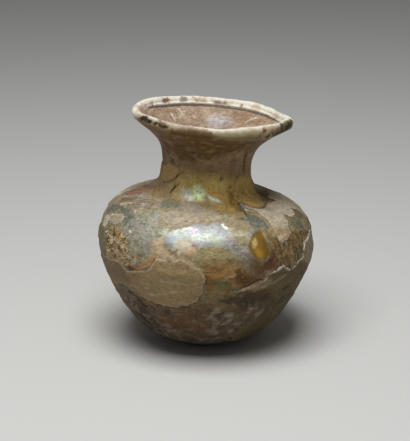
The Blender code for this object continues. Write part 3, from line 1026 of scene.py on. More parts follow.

# Raised wrinkles and broken edges of the crust, which catch the light; their pale is partly their own colour
# and partly a painted highlight.
RIDGES = (
    Ridge("right sheet edge", 0.42, 0.12, 0.7, (
        (309, 225), (308.3, 232), (307.3, 237), (303.5, 242.5), (303.3, 250), (302.3, 256.5), (297.5, 261),
        (292, 267), (288.5, 269.3), (285.5, 267.3), (283.2, 265), (280, 268), (277, 270.5), (272, 271.7),
        (268, 274),
    )),
    Ridge("left sheet edge", 0.35, 0.06, 0.18, (
        (105, 255), (113, 258.3), (119, 261.3), (124, 266.2), (129, 270.7), (133, 271.5), (140, 270.5),
        (148, 268.5), (154, 264),
    )),
    Ridge("left sheet right edge", 0.3, 0.04, 0.15, (
        (190, 266), (197, 269.7), (202, 272.5), (203.8, 278), (203.6, 286), (202, 295), (196, 300.5),
        (187, 304.7), (178, 306.7), (168, 306.5), (160, 303.5),
    )),
    Ridge("shoulder flake high", 0.35, 0.15, 0.39, ((112, 205), (118, 200.5), (126, 197.8), (134, 198.5))),
    Ridge("shoulder flake middle", 0.35, 0.15, 0.36, ((118, 207), (127, 204), (136, 203.5), (146, 205))),
    Ridge("shoulder flake right", 0.35, 0.12, 0.33, ((138, 199.5), (146, 198.5), (154, 200), (160, 201.5))),
    Ridge("shoulder flake beside the streak", 0.35, 0.12, 0.33, ((140, 195.5), (149, 196.5), (157, 199.5))),
    Ridge("shoulder flake top", 0.3, 0.08, 0.23, ((131, 190.5), (140, 187.5), (149, 184.5))),
    Ridge("pitting flake", 0.4, 0.2, 0.8, ((111, 236), (116, 241), (121, 246), (125, 252), (129, 258))),
    Ridge("pitting flake low", 0.4, 0.2, 0.8, ((113, 248), (119, 253), (124, 259), (127, 265))),
    Ridge("pitting flake left", 0.4, 0.2, 0.6, ((103.5, 222), (105, 228), (109, 233))),
    Ridge("low right ridge", 0.4, 0.1, 0.3, ((258, 289), (268, 285), (277, 280), (285, 275))),
    Ridge("inside scratch", 0.35, 0.04, 0.6, ((172, 113), (173.5, 117), (176, 121))),
    Ridge("inside scratch beside", 0.3, 0.04, 0.45, ((179, 108.5), (182, 113), (186, 117))),
    Ridge("inside scratch right", 0.35, 0.04, 0.5, ((246, 122), (251, 119.3), (257, 117.5))),
    Ridge("sheet ridge", 0.25, 0.12, 0.35, ((160, 281), (168, 281.3), (177, 282.7), (188, 284))),
    Ridge("sheet ridge low", 0.25, 0.12, 0.3, ((149, 293.3), (158, 294.2), (166, 293), (177, 291.2))),
    Ridge("sheet ridge left", 0.25, 0.1, 0.25, ((131, 284), (140, 287), (150, 288))),
    Ridge("sheet edge running down", 0.4, 0.14, 0.4, (
        (269, 274.5), (263, 281), (255, 285), (246, 288), (236, 291),
    )),
    Ridge("gold strip ridge", 0.3, 0.1, 0.5, ((136, 269), (144, 266.5), (152, 262.5))),
    Ridge("belly ridge", 0.35, 0.15, 0.5, ((224, 280), (230, 277), (236, 275))),
    Ridge("shoulder streak", 0.3, 0.2, 0.30, ((124, 197.6), (131, 197.2), (139, 197), (147, 198))),
    Ridge("shoulder streak low", 0.35, 0.2, 0.30, ((136, 201), (144, 201.5), (152, 202))),
    Ridge("shoulder ridge left", 0.4, 0.15, 0.4, ((115, 200), (119, 196.5), (123, 194))),
    Ridge("shoulder ridge low", 0.4, 0.15, 0.30, ((121, 204.5), (128, 204.5), (135, 203))),
    Ridge("shoulder ridge high", 0.35, 0.12, 0.30, ((152, 189), (156, 185.5), (159.5, 183.8))),
    Ridge("island ring", 0.3, 0.1, 0.5, (
        (279.3, 238), (281, 236.5), (283.2, 237), (283.4, 239), (281.3, 239.8), (279.5, 238.6),
    )),
)

# Dark spots: the pixel of the view, and a radius in millimetres.
SPOTS = (
    Spot("neck pit", 171.9, 160.5, 0.75), Spot("fillet pit", 221, 179, 0.6),
    Spot("fillet pit below", 230, 187, 0.6), Spot("fillet pit right", 237, 177.5, 0.5),
    Spot("olive pit", 243, 192.5, 0.45), Spot("streak pit", 238, 197, 0.4),
    Spot("shoulder pit", 265, 200, 0.35), Spot("fillet speck", 235, 182, 0.3),
    Spot("mint speck", 197, 191.5, 0.3), Spot("mint speck right", 200, 193.5, 0.3),
    Spot("mint speck below", 196, 199, 0.3), Spot("silver pit", 193.5, 245.7, 0.5),
    Spot("silver pit right", 196.5, 247.5, 0.5), Spot("grey-green pit", 129, 243, 0.4),
    Spot("centre skin speck", 186, 221, 0.35), Spot("silver speck", 212, 228, 0.3),
)

# Where a sheet thins out, with no edge.
FADINGS = (
    Area("low on the right", -2.0, 1.0, 0.5, (
        (226, 294), (236, 293), (244, 298), (258, 300), (268, 312), (262, 326), (250, 336), (230, 336),
        (226, 310),
    )),
    Area("top of the left sheet", -2.0, 1.0, 0.5, (
        (160, 257), (176, 256), (192, 260), (202, 266), (203, 271), (196, 273), (180, 268), (164, 266),
    )),
)

# How strongly the skin is mottled, where that differs.
MOTTLING = (
    Area("left sheet", -1.5, 0.5, 0.3, (
        (108, 262), (130, 274), (160, 266), (200, 274), (203, 290), (188, 304), (165, 306), (136, 292),
        (115, 282),
    ), 0.85),
    Area("shoulder silver", -1.5, 0.5, 0.3, (
        (164, 230), (180, 224), (222, 223), (236, 230), (236, 243), (200, 250), (170, 248),
    ), 0.8),
    Area("dark red", -1.5, 0.5, 0.3, (
        (255, 262), (264, 257), (272, 255), (279, 261), (284, 266), (276, 271), (262, 272), (252, 270),
    ), 0.7),
    Area("clean amber", -1.5, 0.5, 0.3, (
        (254, 233), (262, 236), (268, 244), (268, 256), (262, 262), (254, 258), (249, 249), (250, 240),
    ), 0.6),
    Area("right brown belly", -1.5, 0.5, 0.3, (
        (276, 236), (291, 231), (305, 230), (303, 243), (302, 258), (289, 268), (280, 264), (275, 250),
    ), 1.8),
)
STREAKED = Area("right brown belly", -1.0, 1.0, 0.5, (
    (274, 238), (289, 232), (300, 228), (307, 232), (303, 244), (302, 258), (288, 269), (276, 269),
    (275, 254),
))

# Where the low bloom is thickest, and where the inside of the mouth is flecked.
BLOOMED = Area("low belly, right", -3.0, 3.0, 1.5, (
    (206, 308), (218, 303), (240, 305), (256, 304), (262, 312), (254, 324), (238, 332), (216, 333),
    (204, 322),
))
FLECKED = Area("inside, left and middle", -1.0, 2.0, 1.0, (
    (168, 112), (190, 110), (215, 112), (236, 118), (230, 128), (205, 129), (180, 125), (168, 120),
))

# Where the crust is coming away in crumbs, and where it is only pitted and scabbed, and how far.
CRUMBLING = Area("left belly", -1.0, 1.5, 1.5, (
    (106, 227), (118, 227), (126, 236), (131, 250), (138, 262), (129, 268), (119, 260), (108, 252),
    (104, 240),
))
FLAKING = (
    Area("low left", -1.0, 1.5, 1.5, (
        (121, 286), (142, 300), (158, 316), (162, 326), (152, 330), (130, 306), (120, 294),
    ), 0.7),
    Area("low right", -1.0, 1.5, 1.5, (
        (260, 292), (274, 285), (288, 279), (296, 281), (290, 294), (278, 308), (262, 316),
    ), 0.4),
)


# The skin.

def grain(size, seed, octaves=3, flatness=1.0):
    """Noise over the wall with features of this size in millimetres, averaging 0 and spreading by 1."""
    shift = (seed * 17.3, seed * 5.1, seed * 29.7)
    spots = wall.places / size * (1.0, 1.0, flatness) + shift
    values = np.array([noise.fractal(spot, 0.9, 2.0, octaves) for spot in spots.tolist()])
    return (values - values.mean()) / values.std()


BROAD = grain(12.0, 1)
MEDIUM = grain(4.0, 2)
FINE = grain(1.4, 3)
WRINKLED = grain(4.5, 4, 4, 3.5)


def laid_out(path):
    """The vertices near a path, and how far east of each and along from it the path's points lie."""
    marks = [
        (mark.bearing, wall.along_outside(mark.height)) if isinstance(mark, Round) else seen_at(*mark)
        for mark in path
    ]
    bearings = [marks[0][0]]
    for bearing, _ in marks[1:]:
        bearings.append(bearings[-1] + turned(bearing - bearings[-1]))
    middle = sum(bearings) / len(bearings)
    offsets = np.array(bearings) - middle
    alongs = np.array([along for _, along in marks])
    here = turned(np.degrees(wall.bearing) - middle)
    arc = np.radians(1.0) * wall.radius
    near = (wall.along > alongs.min() - REACH) & (wall.along < alongs.max() + REACH)
    near &= (here * arc > offsets.min() * arc - REACH) & (here * arc < offsets.max() * arc + REACH)
    chosen = np.nonzero(near)[0]
    east = (offsets[None, :] - here[chosen, None]) * arc[chosen, None]
    up = alongs[None, :] - wall.along[chosen, None]
    return chosen, east, up


def gap_to_lines(ax, ay, bx, by):
    """How far the origin is from the nearest of each row's straight lines from a to b."""
    dx, dy = bx - ax, by - ay
    t = np.clip(-(ax * dx + ay * dy) / np.maximum(dx * dx + dy * dy, 1e-9), 0.0, 1.0)
    return np.hypot(ax + t * dx, ay + t * dy).min(axis=1)


def depth_in(outline, ragged):
    """How far each vertex is inside an outline, in millimetres, with the edge frayed by noise."""
    chosen, ax, ay = laid_out(outline)
    bx, by = np.roll(ax, -1, axis=1), np.roll(ay, -1, axis=1)
    gap = gap_to_lines(ax, ay, bx, by)
    crosses = (ay > 0.0) != (by > 0.0)
    rise = np.where(crosses, by - ay, 1.0)
    inside = (crosses & (ax - ay * (bx - ax) / rise > 0.0)).sum(axis=1) % 2 == 1
    depth = np.full(len(wall.radius), -REACH)
    fray = ragged * (0.6 * MEDIUM + 0.45 * FINE)[chosen]
    depth[chosen] = np.where(inside, gap, -gap) + fray
    return depth


def line_along(path, width):
    """1 on an open path and fading to 0 within about twice this width of it, in millimetres."""
    chosen, ax, ay = laid_out(path)
    gap = np.full(len(wall.radius), REACH)
    gap[chosen] = gap_to_lines(ax[:, :-1], ay[:, :-1], ax[:, 1:], ay[:, 1:])
    return np.exp(-((gap / width) ** 2))


def cover_of(patch):
    """How far a patch covers each vertex."""
    return patch.strength * step(-patch.soft, patch.soft, depth_in(patch.outline, patch.ragged))


def within(area):
    """How far each vertex is in an area, from 0 to 1."""
    return step(area.starts, area.full, depth_in(area.outline, area.ragged))


def banded(bands):
    """Colours that change with height up the jar, as given by (height, colour) bands."""
    heights = [height for height, _ in bands]
    colours = np.array([linear(colour)[:3] for _, colour in bands])
    return np.column_stack([np.interp(wall.height, heights, colours[:, i]) for i in range(3)])


def round_the_lip(changes):
    """A measure of the lip that changes with the bearing, as given by (bearing, amount) pairs."""
    return np.interp(np.degrees(wall.bearing), *zip(*changes), period=360.0)


def lay(tint, colour, cover):
    """Lays a colour over a tint, as far as it covers each vertex."""
    tint += (np.array(linear(colour)[:3]) - tint) * cover[:, None]


class Skin:
    """What lies on each vertex: the crust and the film, their colours, the shine and the relief.

    sheet, skins and crust are how far inside the edge of that layer a vertex is, in millimetres.
    """

    def __init__(self):
        self.film_tint = banded(FILM_BANDS)
        self.crust_tint = banded(CRUST_BANDS)
        self.shine = np.full(len(wall.radius), PLAIN_SHINE)
        self.relief = DENTS * BROAD
        self.darkness = np.zeros(len(wall.radius))
        self.away = np.abs(turned(np.degrees(wall.bearing) + 90.0))
        self.unseen = step(*UNSEEN_FROM, self.away)
        self.low = step(*LOW_BELLY, wall.height + 1.5 * MEDIUM)
        self.mottle()
        self.lay_films()
        self.stain_films()
        self.lay_sheets()
        self.lay_skins()
        self.lay_unseen_crust()
        self.raise_crust()
        self.crumble()
        self.measure_lip()
        self.cover_lip()
        self.cover_inside()
        self.mark_mouth()
        self.shape_lip()
        self.end_fold()
        self.cut_grooves()
        self.raise_ridges()
        self.relief *= step(*FOOT_FLAT_TO, wall.height)

    def lay_blotches(self, tint, blotches, where):
        """Blotches of colour over a tint, with their shine, as far as they are wanted at each vertex."""
        for blotch in blotches:
            cover = where * step(blotch.starts, blotch.full, grain(blotch.size, blotch.seed))
            lay(tint, blotch.colour, blotch.strength * cover)
            self.shine += blotch.shine * cover

    def mottle(self):
        """How strongly the skin is mottled, and how streaky it is."""
        self.wear = np.full(len(wall.radius), BELLY_MOTTLING)
        for start, end, change in MOTTLING_CHANGES:
            self.wear += change * step(start, end, wall.height)
        for area in MOTTLING:
            self.wear += (area.amount - self.wear) * within(area)
        self.streaks = np.maximum(within(STREAKED), NECK_STREAKS * step(*NECK_FROM, wall.height))

    def lay_films(self):
        """The bared glass: broad tints on the unseen side, and the seen patches."""
        belly = step(*UNSEEN_FILMS_FROM, wall.height) * step(*UNSEEN_FILMS_TO, wall.height)
        self.lay_blotches(self.film_tint, UNSEEN_FILMS, self.unseen * belly)
        self.shine *= 1.0 - LOW_DULLING * self.low
        for film in FILMS:
            cover = cover_of(film)
            lay(self.film_tint, film.colour, cover)
            self.shine += (film.shine - self.shine) * cover

    def stain_films(self):
        """Brown stains on the funnel and low on the belly, and a pale bloom over the low ones."""
        self.lay_blotches(self.film_tint, FUNNEL_STAINS, step(*FUNNEL_FROM, wall.height))
        self.lay_blotches(self.film_tint, LOW_STAINS, self.low)
        bloom = 0.3 * self.low + 0.25 * within(BLOOMED)
        self.lay_blotches(self.film_tint, LOW_BLOOM, bloom)

    def lay_sheets(self):
        """Thick sheets of crust, and how strongly the painted highlight and painted shadow at their broken
        edges show.
        """
        self.sheet = np.full(len(wall.radius), -REACH)
        self.edge_light = np.zeros(len(wall.radius))
        for patch in SHEETS:
            depth = depth_in(patch.outline, patch.ragged)
            here = step(-1.5, -0.5, depth)
            lay(self.crust_tint, patch.colour, here)
            self.sheet = np.maximum(self.sheet, depth)
            self.edge_light = np.maximum(self.edge_light, patch.strength * here)
        self.fading = np.max([within(area) for area in FADINGS], axis=0)
        self.edge_light *= 1.0 - self.fading

    def lay_skins(self):
        """Thin skins of crust where there is no sheet, and the colours within both."""
        self.skins = np.full(len(wall.radius), -REACH)
        for patch in SKINS:
            depth = depth_in(patch.outline, patch.ragged)
            lay(self.crust_tint, patch.colour, step(-1.0, -0.2, depth) * step(0.5, -0.5, self.sheet))
            self.skins = np.maximum(self.skins, depth)
        for patch in CRUST_COLOURS:
            lay(self.crust_tint, patch.colour, cover_of(patch))

    def lay_unseen_crust(self):
        """On the unseen side, clouds of sheet, which are fullest low down and on the shoulder."""
        fullness = step(*UNSEEN_SHEETS_LOW, wall.height) + 0.6 * step(*UNSEEN_SHEETS_HIGH, wall.height)
        cloud = (1.2 * grain(*UNSEEN_SHEET_CLOUDS) + 0.2 * MEDIUM + fullness - 0.6) * 3.0
        cloud = np.where(wall.height < UNSEEN_SHEETS_TOP, cloud, -REACH)
        self.sheet += (cloud - self.sheet) * self.unseen
        self.sheet = np.clip(self.sheet, -REACH, REACH)
        self.lay_blotches(self.crust_tint, UNSEEN_CRUSTS, self.unseen)
        self.crust = np.maximum(self.sheet, self.skins)

    def raise_crust(self):
        """The thickness of the crust, which curls up a little at its edges and is wrinkled."""
        curl = EDGE_CURL * np.exp(-(((self.sheet - 0.45) / 0.4) ** 2))
        sheets = SHEET_THICKNESS * step(-0.15, 0.35, self.sheet) + curl
        self.relief += sheets * (1.0 - 0.85 * self.fading)
        self.relief += SKIN_THICKNESS * step(-0.2, 0.3, self.skins) * step(0.2, -0.2, self.sheet)
        self.relief += (UNDULATION * MEDIUM + WRINKLES * WRINKLED) * step(-0.5, 1.0, self.crust)
        self.relief += LOW_ROUGHNESS * FINE * step(*LOW_ROUGH_FROM, wall.height)

    def crumble(self):
        """Pits and scabs where the crust is coming away, which loosen crumbs where it is worst."""
        self.crumbs = within(CRUMBLING)
        lay(self.crust_tint, CRUMBLED, 0.9 * self.crumbs * step(0.5, -0.5, self.sheet))
        eaten = self.crumbs
        for area in FLAKING:
            eaten = np.maximum(eaten, area.amount * within(area))
        self.wear += EATEN_MOTTLING * eaten
        pits = step(0.6, 1.2, grain(*PITTED)) * eaten
        scabs = step(0.3, 0.8, grain(*SCABBED)) * eaten * step(0.3, -0.3, self.crust)
        self.crust = np.maximum(self.crust, 2.0 * scabs - 1.0 - REACH * (scabs <= 0.0))
        self.relief += SCAB_THICKNESS * scabs - PIT_DEPTH * pits
        self.darkness += PIT_DARKNESS * pits

    def measure_lip(self):
        """Where each vertex is on the lip: its share of the way over, and how far it is past the fold."""
        self.over = (wall.along - wall.lip_start) / wall.lip_length
        self.past = wall.along - wall.lip_end
        self.hang = round_the_lip(FOLD_HANG)
        self.inside = step(-0.2, 0.3, self.past - self.hang)
        self.on_lip = step(-1.2, 0.3, wall.along - wall.lip_start + 0.3 * MEDIUM)
        self.rim = self.on_lip * (1.0 - self.inside)

    def cover_lip(self):
        """Cream crust on the folded lip, with painted shade on the front's outer face and underside."""
        front = self.on_lip * step(*LIP_FRONT_FROM, self.away)
        lay(self.crust_tint, LIP_CREAM, self.on_lip)
        lay(self.crust_tint, SHADED_LIP_FRONT, front * step(*LIP_OUTER_FACE, self.over + 0.03 * MEDIUM))
        lay(self.crust_tint, SHADED_LIP_UNDERSIDE, front * step(*LIP_UNDERNEATH, self.over))
        self.lay_blotches(self.crust_tint, LIP_BLUSHES, self.rim)
        covered = np.maximum(self.crust, 4.0 * self.on_lip - 2.0)
        self.crust = np.where(self.on_lip > 0.0, covered, self.crust)

    def cover_inside(self):
        """Taupe crust inside the mouth, browner down the neck, with pale flecks and dark clouds."""
        lay(self.crust_tint, TAUPE, self.inside)
        lay(self.crust_tint, UMBER, 0.7 * self.inside * step(*DOWN_NECK_FROM, wall.height))
        flecked = 0.4 + 0.5 * within(FLECKED)
        self.lay_blotches(self.crust_tint, INSIDE_FLECKS, self.inside * flecked)
        self.lay_blotches(self.crust_tint, INSIDE_CLOUDS, self.inside)
        self.wear += INSIDE_MOTTLING * self.inside * step(*INSIDE_MOTTLED_FROM, wall.height)
        self.relief += INSIDE_LUMPS * self.inside * MEDIUM

    def mark_mouth(self):
        """Blotches, chips and gleams on the lip and inside the mouth."""
        for patch in MOUTH_COLOURS:
            cover = cover_of(patch)
            lay(self.crust_tint, patch.colour, cover)
            self.relief -= patch.sunk * cover

    def shape_lip(self):
        """The lip is lumpy, little mottled, and higher along its front."""
        self.wear *= 1.0 - 0.8 * self.rim
        self.relief += self.rim * (LIP_LUMPS * grain(*LUMPY) + LIP_GRIT * FINE)
        top = step(*LIP_TOP_FROM, self.over) * step(*LIP_TOP_TO, self.over)
        self.relief += round_the_lip(LIP_LIFT) * top
        left_end = step(*LIP_LEFT_END, np.abs(turned(np.degrees(wall.bearing))))
        self.relief += LEFT_END_LUMP * left_end * np.exp(-((self.past - 0.2) ** 2))

    def end_fold(self):
        """The fold ends inside the mouth in a ledge, over a sunk line with a painted shadow in it."""
        ledge = step(-0.5, 0.1, self.past) * step(self.hang + 0.2, self.hang - 0.15, self.past)
        self.relief += FOLD_DROP * ledge * (self.hang > 0.05)
        # A painted shadow under the fold's ledge.
        gap = (self.past - self.hang - 0.25) / FOLD_LINE_WIDTH
        line = np.exp(-(gap ** 2)) * step(0.1, 0.5, self.hang)
        self.darkness += FOLD_SHADOW_DARKNESS * line
        self.relief -= FOLD_LINE_DEPTH * line

    def cut_grooves(self):
        """Cracks, slits and spots, which are dark and sunk."""
        for groove in GROOVES:
            line = line_along(groove.path, groove.width)
            self.relief -= groove.depth * line
            self.darkness += GROOVE_DARKNESS * line
        for mark in SPOTS:
            spot = line_along(((mark.x, mark.y), (mark.x + 0.2, mark.y + 0.2)), mark.radius)
            self.relief -= SPOT_DEPTH * spot
            self.darkness += SPOT_DARKNESS * spot

    def raise_ridges(self):
        """Wrinkles and broken edges, which stand up in a broken line, paler partly in their own colour and
        partly as a painted highlight.
        """
        broken = 0.5 + 0.5 * step(-0.6, 0.6, FINE)
        for ridge in RIDGES:
            line = line_along(ridge.path, ridge.width) * broken
            self.relief += ridge.height * line
            # The ivory laid here is partly the ridge's own pale colour and partly a painted highlight.
            lay(self.crust_tint, IVORY, ridge.pale * line)
            lay(self.film_tint, IVORY, 0.6 * ridge.pale * line)


# The materials.

def add(tree, kind, inputs=None, **settings):
    """Adds a node with its settings, and gives each input a value or a link."""
    node = tree.nodes.new(kind)
    for name, value in settings.items():
        setattr(node, name, value)
    for socket, value in (inputs or {}).items():
        if isinstance(value, bpy.types.NodeSocket):
            tree.links.new(value, node.inputs[socket])
        else:
            node.inputs[socket].default_value = value
    return node


def per_metre(millimetres):
    """A noise texture's scale for features of this size."""
    return 1.0 / (millimetres * MM)


def patterned(tree, place, pattern):
    """A pattern of specks or clouds, as what it gives at each place."""
    specks = add(tree, "ShaderNodeTexNoise", {
        "Vector": place, "Scale": per_metre(pattern.size),
        "Detail": pattern.detail, "Roughness": pattern.broken,
    })
    return add(tree, "ShaderNodeMapRange", {
        "Value": specks.outputs[0], "From Min": pattern.low, "From Max": pattern.high,
        "To Min": pattern.at_low, "To Max": pattern.at_high,
    }).outputs[0]


def skin_values(tree):
    """What the wall's attributes and object coordinates give, as sockets by name."""
    values = {"place": add(tree, "ShaderNodeTexCoord").outputs["Object"]}
    for name in ("film_tint", "crust_tint"):
        values[name] = add(tree, "ShaderNodeAttribute", attribute_name=name).outputs["Color"]
    for name in ("crust_depth", "edge_light", "shine", "wear", "streaks", "darkness"):
        values[name] = add(tree, "ShaderNodeAttribute", attribute_name=name).outputs["Fac"]
    return SimpleNamespace(**values)


def mottled_value(tree, skin, flatness, clouds, grains):
    """Clouds over grains, drawn out round the jar, as how bright they leave the skin."""
    flat = add(tree, "ShaderNodeMapping", {"Vector": skin.place, "Scale": (1.0, 1.0, flatness)}).outputs[0]
    both = add(tree, "ShaderNodeMath", {
        0: patterned(tree, flat, clouds), 1: patterned(tree, flat, grains),
    }, operation="ADD").outputs[0]
    return add(tree, "ShaderNodeMath", {0: both, 1: skin.wear, 2: 1.0}, operation="MULTIPLY_ADD").outputs[0]


def film_sheen(tree, skin):
    """The film's tint with mint, blue, lilac and gold by turns, where it shines."""
    # The film peels in layers as thin as light's waves, in clouds some 6 mm across.
    cloud = add(tree, "ShaderNodeTexNoise", {
        "Vector": skin.place, "Scale": per_metre(SHEEN_CLOUD), "Detail": 4.0, "Roughness": 0.65,
    })
    sheen = add(tree, "ShaderNodeValToRGB", {"Fac": cloud.outputs[0]})
    for position, colour in SHEEN:
        sheen.color_ramp.elements.new(position).color = linear(colour)
    for end in (-1, 0):
        sheen.color_ramp.elements.remove(sheen.color_ramp.elements[end])
    share = add(tree, "ShaderNodeMath", {0: skin.shine, 1: skin.shine}, operation="MULTIPLY")
    share = add(tree, "ShaderNodeMath", {0: share.outputs[0], 1: SHEEN_SHARE}, operation="MULTIPLY")
    return add(
        tree, "ShaderNodeMix", {0: share.outputs[0], 6: skin.film_tint, 7: sheen.outputs[0]},
        data_type="RGBA", blend_type="COLOR",
    ).outputs[2]


def film_residue(tree, skin, colour):
    """Specks of crust left on the film, fewest where it shines and where the skin is little mottled."""
    residue = patterned(tree, skin.place, RESIDUE)
    dull = add(tree, "ShaderNodeMapRange", {
        "Value": skin.shine, "From Min": 0.3, "To Min": 1.0, "To Max": 0.2,
    })
    mottled = add(tree, "ShaderNodeMapRange", {"Value": skin.wear, "From Min": 0.9, "From Max": 1.1})
    for share in (dull.outputs[0], mottled.outputs[0]):
        residue = add(tree, "ShaderNodeMath", {0: residue, 1: share}, operation="MULTIPLY").outputs[0]
    return add(tree, "ShaderNodeMix", {
        0: residue, 6: colour, 7: skin.crust_tint,
    }, data_type="RGBA").outputs[2]


def film_value(tree, skin, depth):
    """How dirt, upright streaks, pits and the shadow under the crust's edge darken the film."""
    upright = add(tree, "ShaderNodeMapping", {"Vector": skin.place, "Scale": (1.0, 1.0, STREAK_STRETCH)})
    streaks = add(tree, "ShaderNodeMath", {
        0: patterned(tree, upright.outputs[0], FILM_STREAKS), 1: skin.streaks, 2: 1.0,
    }, operation="MULTIPLY_ADD")
    under_edge = add(tree, "ShaderNodeMapRange", {
        "Value": depth, "From Min": -0.7, "From Max": 0.2, "To Min": 0.0, "To Max": GUTTER_SHADOW,
    })
    shadow = add(tree, "ShaderNodeMath", {0: under_edge.outputs[0], 1: skin.edge_light}, operation="MULTIPLY")
    open_to_light = add(tree, "ShaderNodeMath", {0: 1.0, 1: shadow.outputs[0]}, operation="SUBTRACT")
    value = mottled_value(tree, skin, FILM_FLATNESS, FILM_DIRT, FILM_GLINTS)
    for share in (streaks.outputs[0], patterned(tree, skin.place, FILM_PITS), open_to_light.outputs[0]):
        value = add(tree, "ShaderNodeMath", {0: value, 1: share}, operation="MULTIPLY").outputs[0]
    return value


def film_layer(tree, skin, depth):
    """The bared glass: its colour, and how rough it is, which is less where it shines."""
    colour = film_residue(tree, skin, film_sheen(tree, skin))
    value = film_value(tree, skin, depth)
    colour = add(tree, "ShaderNodeVectorMath", {0: colour, "Scale": value}, operation="SCALE").outputs[0]
    polish = add(tree, "ShaderNodeMapRange", {
        "Value": skin.shine, "To Min": DULL_FILM_ROUGHNESS, "To Max": BRIGHT_FILM_ROUGHNESS,
    })
    rough = add(tree, "ShaderNodeMath", {
        0: polish.outputs[0], 1: patterned(tree, skin.place, FILM_ROUGH_SPECKS),
    }, operation="ADD")
    return colour, rough.outputs[0]


def crust_layer(tree, skin, depth):
    """The weathering crust's colour: chalky and porous, with a painted highlight along its broken edge."""
    broken = add(tree, "ShaderNodeMapRange", {
        "Value": depth, "From Min": 0.3, "From Max": 0.75, "To Min": BROKEN_EDGE_HIGHLIGHT, "To Max": 0.0,
    })
    lit = add(tree, "ShaderNodeMath", {
        0: broken.outputs[0], 1: skin.edge_light, 2: 1.0,
    }, operation="MULTIPLY_ADD")
    value = mottled_value(tree, skin, CRUST_FLATNESS, CHALK_CLOUDS, CHALK_GRAINS)
    for share in (patterned(tree, skin.place, CHALK_PORES), lit.outputs[0]):
        value = add(tree, "ShaderNodeMath", {0: value, 1: share}, operation="MULTIPLY").outputs[0]
    colour = add(tree, "ShaderNodeVectorMath", {0: skin.crust_tint, "Scale": value}, operation="SCALE")
    return colour.outputs[0]


def crust_edge(tree, skin):
    """How deep in the crust a point is once its edge is frayed by crumbs, and whether it is crust."""
    fray = add(tree, "ShaderNodeTexNoise", {
        "Vector": skin.place, "Scale": per_metre(FRAY_SIZE), "Detail": 3.0,
    })
    depth = add(tree, "ShaderNodeMath", {
        0: fray.outputs[0], 1: FRAY_DEPTH, 2: skin.crust_depth,
    }, operation="MULTIPLY_ADD").outputs[0]
    crust = add(tree, "ShaderNodeMapRange", {"Value": depth, "From Min": 0.2, "From Max": 0.34})
    return depth, crust.outputs[0]


def gritty_bump(tree, skin, crust):
    """Grit of about a millimetre, rougher on the crust than on the film."""
    grit = add(tree, "ShaderNodeTexNoise", {
        "Vector": skin.place, "Scale": per_metre(GRIT_SIZE), "Detail": 5.0, "Roughness": 0.68,
    })
    relief = add(tree, "ShaderNodeMapRange", {"Value": crust, "To Min": 0.4, "To Max": 1.0})
    relief = add(tree, "ShaderNodeMath", {0: relief.outputs[0], 1: grit.outputs[0]}, operation="MULTIPLY")
    return add(tree, "ShaderNodeBump", {
        "Height": relief.outputs[0], "Distance": GRIT_HEIGHT * MM, "Strength": 0.9,
    }).outputs[0]


def weathered_glass():
    """Soda-lime glass, blown by hand and long buried.

    To the eye it is opaque: a matt, chalky crust, flaking off glass that has a satin, iridescent film.
    """
    material = bpy.data.materials.new("weathered_soda_lime_glass")
    material.use_nodes = True
    tree = material.node_tree
    shader = tree.nodes["Principled BSDF"]
    skin = skin_values(tree)
    depth, crust = crust_edge(tree, skin)

    film_colour, film_roughness = film_layer(tree, skin, depth)
    layers = add(tree, "ShaderNodeMix", {
        0: crust, 6: film_colour, 7: crust_layer(tree, skin, depth),
    }, data_type="RGBA").outputs[2]
    # darkness holds dark grooves, pits and spots, and the painted shadow under the fold.
    clean = add(tree, "ShaderNodeMath", {0: 1.0, 1: skin.darkness}, operation="SUBTRACT", use_clamp=True)
    colour = add(tree, "ShaderNodeVectorMath", {0: layers, "Scale": clean.outputs[0]}, operation="SCALE")
    tree.links.new(colour.outputs[0], shader.inputs["Base Color"])
    roughness = add(tree, "ShaderNodeMix", {0: crust, 2: film_roughness, 3: CRUST_ROUGHNESS})
    tree.links.new(roughness.outputs[0], shader.inputs["Roughness"])

    # The film is no metal, but its layers mirror like one, so it has a share of a metal's reflection.
    bared = add(tree, "ShaderNodeMath", {0: 1.0, 1: crust}, operation="SUBTRACT")
    mirror = add(tree, "ShaderNodeMath", {0: skin.shine, 1: bared.outputs[0]}, operation="MULTIPLY")
    mirror = add(tree, "ShaderNodeMath", {0: mirror.outputs[0], 1: FILM_MIRROR}, operation="MULTIPLY")
    tree.links.new(mirror.outputs[0], shader.inputs["Metallic"])
    tree.links.new(gritty_bump(tree, skin, crust), shader.inputs["Normal"])
    shader.inputs["IOR"].default_value = GLASS_IOR
    shader.inputs["Specular IOR Level"].default_value = DULLED_SPECULAR
    return material


def loose_crust():
    """Crumbs of the same crust, matt and chalky, in the colour of the skin under each."""
    material = bpy.data.materials.new("loose_weathering_crust")
    material.use_nodes = True
    tree = material.node_tree
    shader = tree.nodes["Principled BSDF"]
    place = add(tree, "ShaderNodeTexCoord").outputs["Object"]
    tint = add(tree, "ShaderNodeAttribute", attribute_name="crust_tint").outputs["Color"]
    colour = add(tree, "ShaderNodeVectorMath", {
        0: tint, "Scale": patterned(tree, place, CRUMB_CLOUDS),
    }, operation="SCALE")
    tree.links.new(colour.outputs[0], shader.inputs["Base Color"])
    shader.inputs["Roughness"].default_value = CRUMB_ROUGHNESS
    return material


# The pieces.

def join_frame(obj):
    """Gives a finished object its place in the shared frame."""
    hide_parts("glass_vase")
    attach(obj, "root")


def raised_mesh(relief):
    """The wall's faces, raised and sunk along their normals by the relief."""
    mesh = bpy.data.meshes.new("vase_wall")
    mesh.from_pydata((wall.places * MM).tolist(), [], wall.faces)
    normals = np.empty(len(wall.radius) * 3)
    mesh.vertex_normals.foreach_get("vector", normals)
    places = wall.places + normals.reshape(-1, 3) * relief[:, None]
    mesh.vertices.foreach_set("co", (places * MM).ravel())
    mesh.update()
    mesh.shade_smooth()
    return mesh


